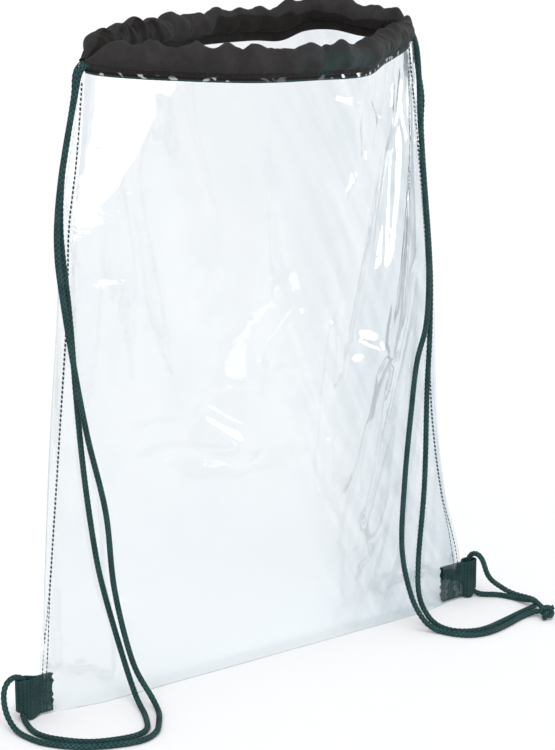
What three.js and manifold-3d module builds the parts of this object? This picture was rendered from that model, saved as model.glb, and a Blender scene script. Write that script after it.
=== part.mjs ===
// Clear drawstring backpack: one folded clear sheet, two gathered casings, webbing tabs, cords and a knot.
import * as THREE from 'three';
import { mergeVertices } from 'three/addons/utils/BufferGeometryUtils.js';
import Module from 'manifold-3d';

const wasm = await Module();
wasm.setup();

// Driving sizes in millimetres: X runs along the bag's width, -Y is the front, Z is up from the surface.
const SHEET = 1.2; // thickness of the clear sheet
const SEAM_HALF = 170; // from the middle of the base to each side seam
const SEAM_MARGIN_LEFT = 7.4; // clear sheet left outside the left seam at half height
const SEAM_MARGIN_RIGHT = 4.6; // the same at the right seam
const SEAM_MARGIN_TOP = 2.8; // the same beside the casing
const SEAM_MARGIN_FOOT = 2.2; // the same at the base
const SEAM_BOW = 9; // how far the slack right seam bows inwards
const SEAM_BOW_AT = 125; // height of that bow
const SEAM_BOW_HALF = 90; // half of its height
const BASE_FLAT = 8; // half depth of the flattened fold that the bag stands on
const BASE_RISE = 2; // height where the walls start above the fold
const BASE_END_RUN = 45; // length over which the fold narrows towards each end
const LAYER_HALF = SHEET / 2 + 0.15; // middle of each layer where the two layers lie together
const TAB_ROOM = 1.9; // extra half depth that leaves room for the webbing between the layers
const HEM_HEIGHT = 5.5; // clear sheet held between the two layers of the casing
const CLOTH = 1; // thickness of the casing's cloth
const HEM_HALF = SHEET / 2 + CLOTH / 2 + 0.35; // middle of each casing layer along the hem
const HEM_INNER_DROP = 2.5; // how far the inner layer hangs below the outer one
const HEM_FLARE = 0.22; // lean of the inner layer below the hem, where the sheet slopes inwards
const CASING_RISE = 18.5; // height of the casing at its lowest pucker
const CASING_HALF = 5; // half depth of the casing's channel at its flattest pucker
const CASING_END_HALF = 3.2; // the same at the casing's open ends
const CORD = 3.8; // diameter of the braided cord
const CORD_HALF_SIDES = 4; // half of the cord's eight sides
const CORD_FLOOR = CORD / 2 + 0.1; // height of a cord's middle where it lies on the surface
const CORD_OUT = 1.1; // how far the cords lie outwards from the middle of the casing
const LEFT_CORD_RISE = 14.2; // height of the left cord in the casing
const RIGHT_CORD_RISE = 9.7; // height of the right cord in the casing
const WEBBING = 1.2; // thickness of the webbing
const WEBBING_WIDTH = 25;
const TAB_INNER = 153; // inner end of the tab's legs, from the middle of the bag
const TAB_NECK = 173; // where the two legs part
const TAB_EYE = { tab_left: 183.8, tab_right: 180.2 }; // outer end of the long eye that the cord runs through
const TAB_EYE_RUN = 4.8; // length of the eye
const TAB_EYE_RADIUS = 3.4; // clear half width of the eye
const TAB_FOOT = 1.6; // height of the tab's lower edge
const TAB_SAG = 0.8; // drop of that edge outside the seam
const TAB_LIFT = 6; // extra height of that edge at the eye's outer end, where the cord leaves under it
const TAB_TOP_LIFT = 0.8; // extra height of the tab's upper edge at the eye
const KNOT_RADIUS = 5.2;

// Lower edge of the casing, from the left seam to the right seam.
const MOUTH_FRONT = [
  { x: -130, y: 0, z: 404 },
  { x: -121, y: -10, z: 402 },
  { x: -94, y: -32, z: 400 },
  { x: -51, y: -63, z: 398.5 },
  { x: -12, y: -76, z: 398 },
  { x: 21, y: -77, z: 397 },
  { x: 56, y: -50, z: 397 },
  { x: 88, y: -26, z: 397 },
  { x: 117, y: 0, z: 396 },
];
const MOUTH_BACK = [
  { x: -130, y: 0, z: 404 },
  { x: -116, y: 10, z: 402 },
  { x: -95, y: 29, z: 400.5 },
  { x: -58, y: 55, z: 399 },
  { x: 0, y: 76.5, z: 397.5 },
  { x: 45, y: 76, z: 396 },
  { x: 82, y: 66, z: 399 },
  { x: 108, y: 38, z: 399 },
  { x: 117, y: 0, z: 396 },
];

// Folds of the clear sheet: each runs between two places on its panel, across and up as shares of the panel.
// Width and push are in millimetres, and a push below zero is a dent.
const FOLDS = [
  { side: 'front', across: 0.59, up: 0.99, toAcross: 0.64, toUp: 0.88, width: 9, push: -3.2 },
  { side: 'front', across: 0.88, up: 0.86, toAcross: 0.68, toUp: 0.32, width: 13, push: 4 },
  { side: 'front', across: 0.8, up: 0.84, toAcross: 0.6, toUp: 0.4, width: 12, push: -4 },
  { side: 'front', across: 0.94, up: 0.6, toAcross: 0.76, toUp: 0.2, width: 11, push: -3.5 },
  { side: 'front', across: 0.12, up: 0.9, toAcross: 0.14, toUp: 0.62, width: 22, push: 4 },
  { side: 'front', across: 0.46, up: 0.56, toAcross: 0.54, toUp: 0.44, width: 20, push: -4 },
  { side: 'front', across: 0.2, up: 0.38, toAcross: 0.44, toUp: 0.35, width: 14, push: 4 },
  { side: 'front', across: 0.62, up: 0.5, toAcross: 0.82, toUp: 0.5, width: 9, push: 2.5 },
  { side: 'front', across: 0.14, up: 0.14, toAcross: 0.24, toUp: 0.1, width: 15, push: 2.5 },
  { side: 'back', across: 0.3, up: 0.8, toAcross: 0.42, toUp: 0.4, width: 20, push: 4 },
  { side: 'back', across: 0.62, up: 0.75, toAcross: 0.5, toUp: 0.3, width: 16, push: -4 },
  { side: 'back', across: 0.82, up: 0.6, toAcross: 0.74, toUp: 0.25, width: 14, push: 3.5 },
];

// Gathers of the casing: place along the panel, half width as a share, swell outwards and lift of the top edge.
const GATHERS = {
  front: [
    { at: 0.07, half: 0.02, swell: 3, lift: 2 },
    { at: 0.135, half: 0.024, swell: 4.5, lift: 4.2 },
    { at: 0.225, half: 0.022, swell: 3.6, lift: 4.2 },
    { at: 0.288, half: 0.018, swell: 4.6, lift: 5 },
    { at: 0.345, half: 0.02, swell: 3, lift: 3.6 },
    { at: 0.405, half: 0.018, swell: 4, lift: 1 },
    { at: 0.455, half: 0.018, swell: 4.4, lift: 3 },
    { at: 0.525, half: 0.024, swell: 3.2, lift: 3.8 },
    { at: 0.6, half: 0.022, swell: 4.4, lift: 4.4 },
    { at: 0.67, half: 0.02, swell: 3, lift: 2 },
    { at: 0.745, half: 0.024, swell: 4, lift: 2.4 },
    { at: 0.83, half: 0.024, swell: 3.6, lift: 1.4 },
    { at: 0.91, half: 0.02, swell: 2.4, lift: -1.6 },
  ],
  back: [
    { at: 0.08, half: 0.02, swell: 3, lift: 2.4 },
    { at: 0.15, half: 0.022, swell: 4, lift: 3.4 },
    { at: 0.23, half: 0.022, swell: 3.4, lift: 3.2 },
    { at: 0.29, half: 0.02, swell: 4.2, lift: 4.2 },
    { at: 0.355, half: 0.02, swell: 3, lift: 1.6 },
    { at: 0.42, half: 0.018, swell: 4.6, lift: 5 },
    { at: 0.485, half: 0.02, swell: 3, lift: 1.4 },
    { at: 0.55, half: 0.02, swell: 4, lift: 3 },
    { at: 0.61, half: 0.018, swell: 3, lift: 1.6 },
    { at: 0.66, half: 0.018, swell: 3.6, lift: 2.2 },
    { at: 0.715, half: 0.02, swell: 4.8, lift: 6 },
    { at: 0.775, half: 0.02, swell: 3.4, lift: 4 },
    { at: 0.84, half: 0.022, swell: 4, lift: 3.6 },
    { at: 0.905, half: 0.02, swell: 3, lift: 1.4 },
    { at: 0.955, half: 0.018, swell: 2, lift: -0.5 },
  ],
};

// Routes of the free cords, from the casing down the front and over the surface.
const LEFT_OUTER = [
  { x: -128.6, y: -2.4, z: 418.4 },
  { x: -133.9, y: -3.4, z: 416.8 },
  { x: -137.3, y: -5.2, z: 411.6 },
  { x: -138.4, y: -6.2, z: 403 },
  { x: -140.2, y: -7.4, z: 391.5 },
  { x: -147.6, y: -9.5, z: 366.4 },
  { x: -154.2, y: -12.5, z: 343.7 },
  { x: -159, y: -15.2, z: 321 },
  { x: -160.2, y: -16, z: 302 },
  { x: -158.4, y: -16, z: 281 },
  { x: -151.3, y: -16.5, z: 232 },
  { x: -142.7, y: -17.2, z: 183 },
  { x: -131.4, y: -18.4, z: 132 },
  { x: -127.4, y: -20.4, z: 81 },
  { x: -118, y: -25, z: 32 },
  { x: -110, y: -34, z: 9 },
  { x: -110, y: -42, z: 2 },
  { x: -118, y: -55, z: 2 },
  { x: -130, y: -69, z: 2 },
  { x: -147, y: -73, z: 2 },
  { x: -175, y: -62, z: 2 },
  { x: -192.5, y: -43, z: 2 },
  { x: -197.3, y: -28, z: 2 },
  { x: -198.6, y: -16.5, z: 2.9 },
  { x: -199.4, y: -8.5, z: 8.4 },
  { x: -199.7, y: -5.2, z: 14.8 },
  { x: -199.4, y: -4.2, z: 19.5 },
];
const LEFT_INNER = [
  { x: -128.9, y: 2.7, z: 418.4 },
  { x: -133.2, y: 1.6, z: 416.6 },
  { x: -135.8, y: 0.4, z: 411 },
  { x: -135.9, y: -0.8, z: 403.5 },
  { x: -137.4, y: -2.4, z: 392 },
  { x: -144.4, y: -5, z: 366.4 },
  { x: -150.5, y: -7.5, z: 343.7 },
  { x: -153.2, y: -9, z: 319 },
  { x: -152.6, y: -9.4, z: 298 },
  { x: -148.9, y: -9.8, z: 259.5 },
  { x: -146.1, y: -11, z: 205 },
  { x: -142.7, y: -12.2, z: 157 },
  { x: -137.1, y: -14, z: 107 },
  { x: -131.2, y: -15.2, z: 76 },
  { x: -120, y: -18, z: 31 },
  { x: -116, y: -25, z: 8 },
  { x: -117, y: -34, z: 2 },
  { x: -123, y: -48, z: 2 },
  { x: -132, y: -62, z: 2 },
  { x: -146, y: -65, z: 2 },
  { x: -169, y: -57, z: 2 },
  { x: -184, y: -41, z: 2 },
  { x: -189.4, y: -29, z: 2 },
  { x: -189.4, y: -19.1, z: 2 },
];
const LEFT_EYE = [
  { x: -199.35, y: -4.1, z: 20.1 },
  { x: -198.8, y: -3.4, z: 24.2 },
  { x: -196.4, y: -2.6, z: 28 },
  { x: -192.8, y: -1.6, z: 29.9 },
  { x: -188.6, y: -0.6, z: 30 },
  { x: -184.9, y: 0, z: 28.7 },
  { x: -182.7, y: 0.2, z: 25.7 },
  { x: -181.9, y: 0.4, z: 21 },
  { x: -182.3, y: 0.5, z: 16.4 },
  { x: -183.3, y: 0.4, z: 12.4 },
  { x: -184.3, y: -0.1, z: 9 },
  { x: -184.8, y: -0.8, z: 6.2 },
  { x: -185.4, y: -2.3, z: 3.9 },
  { x: -186.1, y: -4.9, z: 2.4 },
  { x: -186.9, y: -8.4, z: 2 },
  { x: -188, y: -13, z: 2 },
  { x: -189.1, y: -17.8, z: 2 },
];
const RIGHT_OUTER = [
  { x: 115.6, y: -3, z: 405.6 },
  { x: 119.8, y: 0.2, z: 404.9 },
  { x: 122.8, y: 0.7, z: 400 },
  { x: 123.6, y: -1.6, z: 391 },
  { x: 122.8, y: -5.5, z: 372 },
  { x: 121.5, y: -8.5, z: 350 },
  { x: 121, y: -12.4, z: 322 },
  { x: 126.4, y: -13.6, z: 258 },
  { x: 123.5, y: -16.5, z: 214 },
  { x: 112, y: -21, z: 188 },
  { x: 107, y: -22, z: 155 },
  { x: 102, y: -22.5, z: 108 },
  { x: 100, y: -23, z: 60 },
  { x: 103, y: -30, z: 27 },
  { x: 110, y: -36, z: 9 },
  { x: 117, y: -42, z: 2 },
  { x: 121, y: -50.4, z: 2 },
  { x: 126, y: -57.4, z: 2 },
  { x: 133, y: -62.4, z: 2 },
  { x: 146, y: -64.4, z: 2 },
  { x: 163, y: -61, z: 2 },
  { x: 178, y: -56.4, z: 2 },
  { x: 186, y: -55.4, z: 2.3 },
  { x: 190.8, y: -57.4, z: 3.6 },
  { x: 192.5, y: -60.9, z: 4.7 },
];
const RIGHT_INNER = [
  { x: 116.2, y: 5.6, z: 405.8 },
  { x: 119.4, y: 5.2, z: 404.8 },
  { x: 122.8, y: 4.8, z: 400 },
  { x: 124.9, y: 3.4, z: 391 },
  { x: 126.4, y: 0.6, z: 379 },
  { x: 127, y: -3.2, z: 362 },
  { x: 125, y: -5.3, z: 345 },
  { x: 125, y: -8.2, z: 318 },
  { x: 131.5, y: -9, z: 250 },
  { x: 130, y: -12, z: 204 },
  { x: 126, y: -15, z: 163 },
  { x: 124, y: -16.5, z: 100 },
  { x: 117, y: -20, z: 48 },
  { x: 114, y: -25, z: 23 },
  { x: 118, y: -31, z: 8 },
  { x: 122.8, y: -38, z: 2 },
  { x: 124.6, y: -46, z: 2 },
  { x: 129.6, y: -52.2, z: 2 },
  { x: 138, y: -56.8, z: 2 },
  { x: 150, y: -57.4, z: 2 },
  { x: 161.4, y: -55, z: 2 },
  { x: 172, y: -52.6, z: 2 },
  { x: 180, y: -50.6, z: 2 },
];
const RIGHT_EYE = [
  { x: 180.6, y: -50.45, z: 2 },
  { x: 192, y: -48, z: 2 },
  { x: 202, y: -45.2, z: 2 },
  { x: 207.6, y: -39.8, z: 2 },
  { x: 207.6, y: -32.4, z: 2 },
  { x: 204.8, y: -24.8, z: 2.1 },
  { x: 200.8, y: -18.4, z: 3.8 },
  { x: 196.4, y: -15.6, z: 7.2 },
  { x: 192, y: -14.2, z: 10.7 },
  { x: 187.6, y: -14.2, z: 14.6 },
  { x: 183.8, y: -14.7, z: 19.6 },
  { x: 181, y: -15, z: 25 },
  { x: 180.3, y: -12.6, z: 30.8 },
  { x: 179.9, y: -6.8, z: 33.4 },
  { x: 179.5, y: -0.9, z: 30.8 },
  { x: 179.4, y: 1.1, z: 25.2 },
  { x: 179.5, y: 1.1, z: 18 },
  { x: 179.8, y: 1, z: 12 },
  { x: 180, y: 0.6, z: 8.6 },
  { x: 180.5, y: -0.7, z: 5.2 },
  { x: 181.7, y: -2.7, z: 3.1 },
  { x: 183.6, y: -5.2, z: 2.1 },
  { x: 186.4, y: -8, z: 2 },
  { x: 190.4, y: -11.2, z: 2 },
  { x: 194.2, y: -14.8, z: 2 },
  { x: 197.2, y: -20, z: 2 },
  { x: 199.8, y: -27.6, z: 2.2 },
  { x: 200.6, y: -36, z: 3.4 },
  { x: 199.8, y: -45.2, z: 6.6 },
  { x: 197.4, y: -55, z: 7.8 },
  { x: 196, y: -60.9, z: 8.6 },
];
const KNOT_AT = { x: 193.9, y: -66.4, z: 5.9 };

const LAST = MOUTH_FRONT.length - 1;
const SIGN = { front: -1, back: 1 };

function smoothStep(from, to, value) {
  return THREE.MathUtils.smoothstep(value, from, to);
}

function curveThrough(rows) {
  const points = rows.map((row) => new THREE.Vector3(row.x, row.y, row.z));
  const curve = new THREE.CatmullRomCurve3(points, false, 'catmullrom', 0.5);
  curve.arcLengthDivisions = 400;
  return curve;
}

const MOUTH = { front: curveThrough(MOUTH_FRONT), back: curveThrough(MOUTH_BACK) };

// The clear sheet's columns between its seams are also the stations of the casings.
const PANEL_COLUMNS = 25;
const CASING_END = 0.5 / PANEL_COLUMNS; // share of the panel left open at each end, where the cords come out

// The casing's lower edge in straight steps between the stations, so the sheet and the casing share one line.
function mouthPoint(side, share) {
  const step = THREE.MathUtils.clamp(share, 0, 1) * PANEL_COLUMNS;
  const low = Math.min(Math.floor(step + 1e-9), PANEL_COLUMNS - 1);
  const from = MOUTH[side].getPointAt(low / PANEL_COLUMNS);
  const to = MOUTH[side].getPointAt((low + 1) / PANEL_COLUMNS);
  return from.lerp(to, step - low);
}

function solidMesh(name, geometry, colour, roughness, opacity = 1) {
  geometry.computeVertexNormals();
  const material = new THREE.MeshStandardMaterial({
    color: colour,
    roughness,
    metalness: 0,
    transparent: opacity < 1,
    opacity,
  });
  const mesh = new THREE.Mesh(geometry, material);
  mesh.name = name;
  return mesh;
}

function welded(geometry) {
  geometry.deleteAttribute('normal');
  geometry.deleteAttribute('uv');
  return mergeVertices(geometry, 1e-4);
}

// A flat box cut into a grid and bent: place gives the position for u and v from 0 to 1 and w from -1 to 1.
function bentSheet(columns, rows, place) {
  const geometry = new THREE.BoxGeometry(1, 1, 2, columns, rows, 1);
  const position = geometry.attributes.position;
  for (let i = 0; i < position.count; i += 1) {
    const point = place(position.getX(i) + 0.5, position.getY(i) + 0.5, position.getZ(i));
    position.setXYZ(i, point.x, point.y, point.z);
  }
  return outward(welded(geometry));
}

function toManifold(geometry) {
  const mesh = new wasm.Mesh({
    numProp: 3,
    vertProperties: new Float32Array(geometry.attributes.position.array),
    triVerts: new Uint32Array(geometry.index.array),
  });
  return new wasm.Manifold(mesh);
}

function fromManifold(solid) {
  const mesh = solid.getMesh();
  const geometry = new THREE.BufferGeometry();
  geometry.setAttribute('position', new THREE.BufferAttribute(new Float32Array(mesh.vertProperties), 3));
  geometry.setIndex(new THREE.BufferAttribute(new Uint32Array(mesh.triVerts), 1));
  return geometry;
}

// Height that the folds add to a panel at one place, along the panel's outward direction.
function foldPush(side, across, up) {
  const at = new THREE.Vector2(across * 2 * SEAM_HALF, up * MOUTH_FRONT[LAST].z);
  let push = 0;
  for (const fold of FOLDS) {
    if (fold.side !== side) continue;
    const from = new THREE.Vector2(fold.across * 2 * SEAM_HALF, fold.up * MOUTH_FRONT[LAST].z);
    const along = new THREE.Vector2(fold.toAcross * 2 * SEAM_HALF, fold.toUp * MOUTH_FRONT[LAST].z).sub(from);
    const share = THREE.MathUtils.clamp(at.clone().sub(from).dot(along) / along.lengthSq(), 0, 1);
    const away = at.distanceTo(from.clone().addScaledVector(along, share)) / fold.width;
    push += fold.push * Math.exp(-away * away);
  }
  const edge = smoothStep(0, 0.08, across) * smoothStep(0, 0.08, 1 - across);
  return push * edge * smoothStep(0.02, 0.1, up) * smoothStep(0, 0.04, 1 - up);
}

// How far the slack right seam draws the panels inwards at one place.
function seamBow(across, up) {
  const away = (up * MOUTH_FRONT[LAST].z - SEAM_BOW_AT) / SEAM_BOW_HALF;
  return SEAM_BOW * Math.exp(-away * away) * smoothStep(0.05, 0.2, up) * smoothStep(0.6, 1, across);
}

// Middle of the clear sheet on one panel: straight lines join the base fold to the casing's lower edge.
// Across runs from seam to seam, up from 0 at the base to 1 at the casing, with the hem added above.
function panelPoint(side, across, up, hem = 0) {
  const mouth = mouthPoint(side, across);
  const baseX = SEAM_HALF * (2 * across - 1);
  const baseDepth = (BASE_FLAT - TAB_ROOM) * smoothStep(0, BASE_END_RUN, SEAM_HALF - Math.abs(baseX));
  const tabRoom = TAB_ROOM * (1 - smoothStep(0.08, 0.2, up));
  const depth = THREE.MathUtils.lerp(baseDepth, Math.abs(mouth.y), up) + tabRoom + LAYER_HALF;
  return new THREE.Vector3(
    THREE.MathUtils.lerp(baseX, mouth.x, up) - seamBow(across, up),
    SIGN[side] * (depth + foldPush(side, across, up)),
    THREE.MathUtils.lerp(BASE_RISE, mouth.z, up) + hem,
  );
}

function panelNormal(side, across, up) {
  const step = 0.004;
  const low = Math.min(Math.max(across, step), 1 - step);
  const mid = Math.min(Math.max(up, step), 1 - step);
  const right = panelPoint(side, low + step, mid).sub(panelPoint(side, low - step, mid));
  const rise = panelPoint(side, low, mid + step).sub(panelPoint(side, low, mid - step));
  const normal = right.cross(rise).normalize();
  return normal.y * SIGN[side] < 0 ? normal.negate() : normal;
}

// The clear sheet runs down the front, under the base and up the back, with a margin outside each seam.
const MARGIN_COLUMNS = 1;
const WALL_ROWS = 11;
const BASE_ROWS = 2;
const SHEET_COLUMNS = PANEL_COLUMNS + 2 * MARGIN_COLUMNS;
const SHEET_ROWS = 2 * (WALL_ROWS + 1) + BASE_ROWS + 2;

function clearSheetPoint(u, v, w) {
  const column = u * SHEET_COLUMNS - MARGIN_COLUMNS;
  const across = THREE.MathUtils.clamp(column / PANEL_COLUMNS, 0, 1);
  const beyond = (column - across * PANEL_COLUMNS) / MARGIN_COLUMNS;
  const row = Math.round(v * SHEET_ROWS);
  const fromTop = Math.min(row, SHEET_ROWS - row);
  const side = row <= SHEET_ROWS / 2 ? 'front' : 'back';
  const point = new THREE.Vector3();
  let margin = SEAM_MARGIN_FOOT;
  if (fromTop <= WALL_ROWS + 1) {
    const up = fromTop === 0 ? 1 : 1 - (fromTop - 1) / WALL_ROWS;
    const normal = panelNormal(side, across, up);
    if (beyond !== 0 || across === 0 || across === 1) normal.set(0, SIGN[side], 0);
    point.copy(panelPoint(side, across, up, fromTop === 0 ? HEM_HEIGHT : 0));
    point.addScaledVector(normal, (w * SHEET) / 2);
    const middle = beyond < 0 ? SEAM_MARGIN_LEFT : SEAM_MARGIN_RIGHT;
    margin = THREE.MathUtils.lerp(SEAM_MARGIN_FOOT, middle, smoothStep(0, 0.5, up));
    margin = THREE.MathUtils.lerp(margin, SEAM_MARGIN_TOP, smoothStep(0.78, 0.96, up));
  } else {
    const share = (row - SHEET_ROWS / 2) / (BASE_ROWS / 2);
    const edge = panelPoint('back', across, 0);
    const room = edge.y - SHEET / 2 - 0.35;
    point.set(edge.x, share * room, SHEET / 2 - (w * SHEET) / 2);
  }
  point.x += beyond * margin;
  return point;
}

// A strip along each side seam joins the two layers above the tabs.
function seamStrip(across) {
  const rows = 6;
  return bentSheet(1, rows, (u, v, w) => {
    const up = THREE.MathUtils.lerp(0.22, 0.985, v);
    const middle = panelPoint('front', across, up);
    return new THREE.Vector3(middle.x + (u - 0.5) * 2, w * 0.5, middle.z);
  });
}

function makeBody() {
  let solid = toManifold(bentSheet(SHEET_COLUMNS, SHEET_ROWS, clearSheetPoint));
  solid = solid.add(toManifold(seamStrip(0)));
  solid = solid.add(toManifold(seamStrip(1)));
  return solidMesh('clear_body', fromManifold(solid), 0xe8f1f6, 0.08, 0.3);
}

// A place beside a casing's line: out is measured outwards from the clear sheet, rise upwards from the lower edge.
function besideMouth(side, along, out, rise) {
  const place = THREE.MathUtils.clamp(along, 0, 1);
  const at = mouthPoint(side, place);
  const tangent = MOUTH[side].getTangentAt(place);
  const outward = new THREE.Vector3(tangent.y, -tangent.x, 0).normalize().multiplyScalar(-SIGN[side]);
  at.y += SIGN[side] * LAYER_HALF;
  at.addScaledVector(outward, out);
  at.z += rise;
  return at;
}

function gatherAt(side, along, column) {
  let total = 0;
  for (const row of GATHERS[side]) {
    const away = (along - row.at) / row.half;
    total += row[column] * Math.exp(-away * away);
  }
  return total;
}

// The casing is one strip of cloth folded over: up the outside, over the cords and down the inside.
const CASING_COLUMNS = 2 * (PANEL_COLUMNS - 1);
const HEM_ROWS = 1;
const PUFF_ROWS = 3;

function casingPoint(side, u, v, w) {
  const along = THREE.MathUtils.lerp(CASING_END, 1 - CASING_END, u);
  const half = HEM_ROWS + PUFF_ROWS;
  const row = Math.round(v * (2 * half + 1));
  const outside = row <= half;
  const step = outside ? row : 2 * half + 1 - row;
  const top = CASING_RISE + gatherAt(side, along, 'lift');
  const full = CASING_HALF + gatherAt(side, outside ? along : along + 0.04, 'swell') * (outside ? 1 : 0.7);
  const swell = THREE.MathUtils.lerp(CASING_END_HALF, full, smoothStep(0, 0.1, Math.min(along, 1 - along)));
  let rise = outside ? 0 : -HEM_INNER_DROP;
  let out = HEM_HALF;
  if (step === 0 && !outside) out += HEM_INNER_DROP * HEM_FLARE;
  if (step >= HEM_ROWS) {
    const share = (step - HEM_ROWS) / PUFF_ROWS;
    rise = THREE.MathUtils.lerp(HEM_HEIGHT + 0.6, top, share);
    out = HEM_HALF + (swell - HEM_HALF) * Math.pow(Math.sin(Math.PI * share), 0.6);
  }
  const slant = step === half ? 0.55 : 1;
  const sign = outside ? 1 : -1;
  return besideMouth(side, along, sign * (out * slant + (w * CLOTH) / 2), rise + (step === half ? (w * CLOTH) / 2 : 0));
}

function makeCasing(side) {
  const rows = 2 * (HEM_ROWS + PUFF_ROWS) + 1;
  const geometry = bentSheet(CASING_COLUMNS, rows, (u, v, w) => casingPoint(side, u, v, w));
  return solidMesh(`casing_${side}`, geometry, 0x3c393b, 0.85);
}

// Turns a mesh's faces outward when the bend has turned the box inside out.
function outward(geometry) {
  const position = geometry.attributes.position;
  const index = geometry.index;
  let volume = 0;
  const corner = [new THREE.Vector3(), new THREE.Vector3(), new THREE.Vector3()];
  for (let i = 0; i < index.count; i += 3) {
    corner.forEach((point, k) => point.fromBufferAttribute(position, index.getX(i + k)));
    volume += corner[0].dot(corner[1].clone().cross(corner[2]));
  }
  if (volume < 0) {
    for (let i = 0; i < index.count; i += 3) {
      const swap = index.getX(i + 1);
      index.setX(i + 1, index.getX(i + 2));
      index.setX(i + 2, swap);
    }
  }
  return geometry;
}

// A route that never dips below the surface the bag stands on, with its steps shared between its rows.
class LaidCurve extends THREE.Curve {
  constructor(rows) {
    super();
    this.route = curveThrough(rows);
    this.arcLengthDivisions = 400;
  }

  getUtoTmapping(share) {
    return share;
  }

  getPoint(share, target = new THREE.Vector3()) {
    this.route.getPoint(share, target);
    target.z = Math.max(target.z, CORD_FLOOR);
    return target;
  }
}

function cordTube(name, rows, steps) {
  const outline = new THREE.Shape();
  outline.absarc(0, 0, CORD / 2, 0, 2 * Math.PI, false);
  const geometry = new THREE.ExtrudeGeometry(outline, {
    steps,
    curveSegments: CORD_HALF_SIDES,
    extrudePath: new LaidCurve(rows),
    bevelEnabled: false,
  });
  return solidMesh(name, outward(welded(geometry)), 0x264442, 0.8);
}

function channelPlace(side, along, rise) {
  const out = CORD_OUT * smoothStep(0.03, 0.12, Math.min(along, 1 - along));
  return besideMouth(side, along, out, rise);
}

// The hidden stretch of a cord: in at one end, round the far seam and back out at the same end.
function channelRoute(exitAtLeft, rise) {
  const places = [CASING_END + 0.004];
  const stops = 12;
  for (let i = 0; i <= stops; i += 1) places.push(THREE.MathUtils.lerp(0.068, 0.985, i / stops));
  const along = exitAtLeft ? places : places.map((share) => 1 - share);
  const front = along.map((share) => channelPlace('front', share, rise));
  const back = along.map((share) => channelPlace('back', share, rise));
  return [...front, ...back.reverse()];
}

function freeRoute(side, along, rise, rows) {
  const exit = channelPlace(side, along, rise);
  return [{ x: exit.x, y: exit.y, z: exit.z }, ...rows];
}

// The tab is a strip of webbing folded round the cord, with both legs between the layers of the clear sheet.
function makeTab(name, sign) {
  const outer = TAB_EYE_RADIUS + WEBBING;
  const legOuter = WEBBING + 0.2;
  const legInner = 0.2;
  const eye = TAB_EYE[name];
  const eyeInner = eye - TAB_EYE_RUN;
  const outline = new THREE.Shape();
  outline.moveTo(TAB_INNER, legOuter);
  outline.lineTo(TAB_NECK, legOuter);
  outline.lineTo(eyeInner, outer);
  outline.absarc(eye, 0, outer, Math.PI / 2, -Math.PI / 2, true);
  outline.lineTo(eyeInner, -outer);
  outline.lineTo(TAB_NECK, -legOuter);
  outline.lineTo(TAB_INNER, -legOuter);
  outline.lineTo(TAB_INNER, -legInner);
  outline.lineTo(TAB_NECK + 1, -legInner);
  outline.lineTo(eyeInner, -TAB_EYE_RADIUS);
  outline.absarc(eye, 0, TAB_EYE_RADIUS, -Math.PI / 2, Math.PI / 2, false);
  outline.lineTo(eyeInner, TAB_EYE_RADIUS);
  outline.lineTo(TAB_NECK + 1, legInner);
  outline.lineTo(TAB_INNER, legInner);
  outline.closePath();
  const geometry = new THREE.ExtrudeGeometry(outline, { depth: WEBBING_WIDTH, curveSegments: 7, bevelEnabled: false });
  const position = geometry.attributes.position;
  for (let i = 0; i < position.count; i += 1) {
    const x = position.getX(i);
    const z = position.getZ(i);
    const sag = TAB_SAG * smoothStep(TAB_NECK + 1, TAB_NECK + 2.4, x);
    const footLift = TAB_LIFT * smoothStep(eye - 2, eye + 1.6, x) - sag;
    const topLift = TAB_TOP_LIFT * smoothStep(TAB_NECK, eye - 2, x);
    const lift = THREE.MathUtils.lerp(footLift, topLift, z / WEBBING_WIDTH);
    position.setXYZ(i, sign * x, position.getY(i), z + TAB_FOOT + lift);
  }
  return solidMesh(name, outward(welded(geometry)), 0x223f40, 0.8);
}

// The knot is a ball of cord whose turns show as slanted ridges.
function makeKnot() {
  const geometry = new THREE.SphereGeometry(KNOT_RADIUS, 12, 8);
  const position = geometry.attributes.position;
  const point = new THREE.Vector3();
  for (let i = 0; i < position.count; i += 1) {
    point.fromBufferAttribute(position, i);
    const turn = Math.atan2(point.y, point.x);
    const waist = 1 - (point.z / KNOT_RADIUS) ** 2;
    point.multiplyScalar(1 + 0.09 * waist * Math.cos(3 * turn + 0.5 * point.z));
    position.setXYZ(i, point.x + KNOT_AT.x, point.y + KNOT_AT.y, point.z + KNOT_AT.z);
  }
  return solidMesh('knot_right', outward(welded(geometry)), 0x264442, 0.8);
}

const NEAR = CASING_END + 0.002;
const FAR = 1 - NEAR;
const part = new THREE.Group();
part.name = 'clear_drawstring_backpack';
part.add(makeBody());
part.add(makeCasing('front'));
part.add(makeCasing('back'));
part.add(makeTab('tab_left', -1));
part.add(makeTab('tab_right', 1));
part.add(cordTube('cord_left_in_casing', channelRoute(true, LEFT_CORD_RISE), 27));
part.add(cordTube('cord_right_in_casing', channelRoute(false, RIGHT_CORD_RISE), 27));
part.add(cordTube('cord_left_outer', freeRoute('front', NEAR, LEFT_CORD_RISE, LEFT_OUTER), 35));
part.add(cordTube('cord_left_inner', freeRoute('back', NEAR, LEFT_CORD_RISE, LEFT_INNER), 33));
part.add(cordTube('cord_left_eye', LEFT_EYE, 22));
part.add(cordTube('cord_right_outer', freeRoute('front', FAR, RIGHT_CORD_RISE, RIGHT_OUTER), 31));
part.add(cordTube('cord_right_inner', freeRoute('back', FAR, RIGHT_CORD_RISE, RIGHT_INNER), 32));
part.add(cordTube('cord_right_eye', RIGHT_EYE, 39));
part.add(makeKnot());

export default part;
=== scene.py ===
import math
import random

import bmesh
import bpy
import numpy as np
from mathutils import Matrix, Vector, noise


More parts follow.
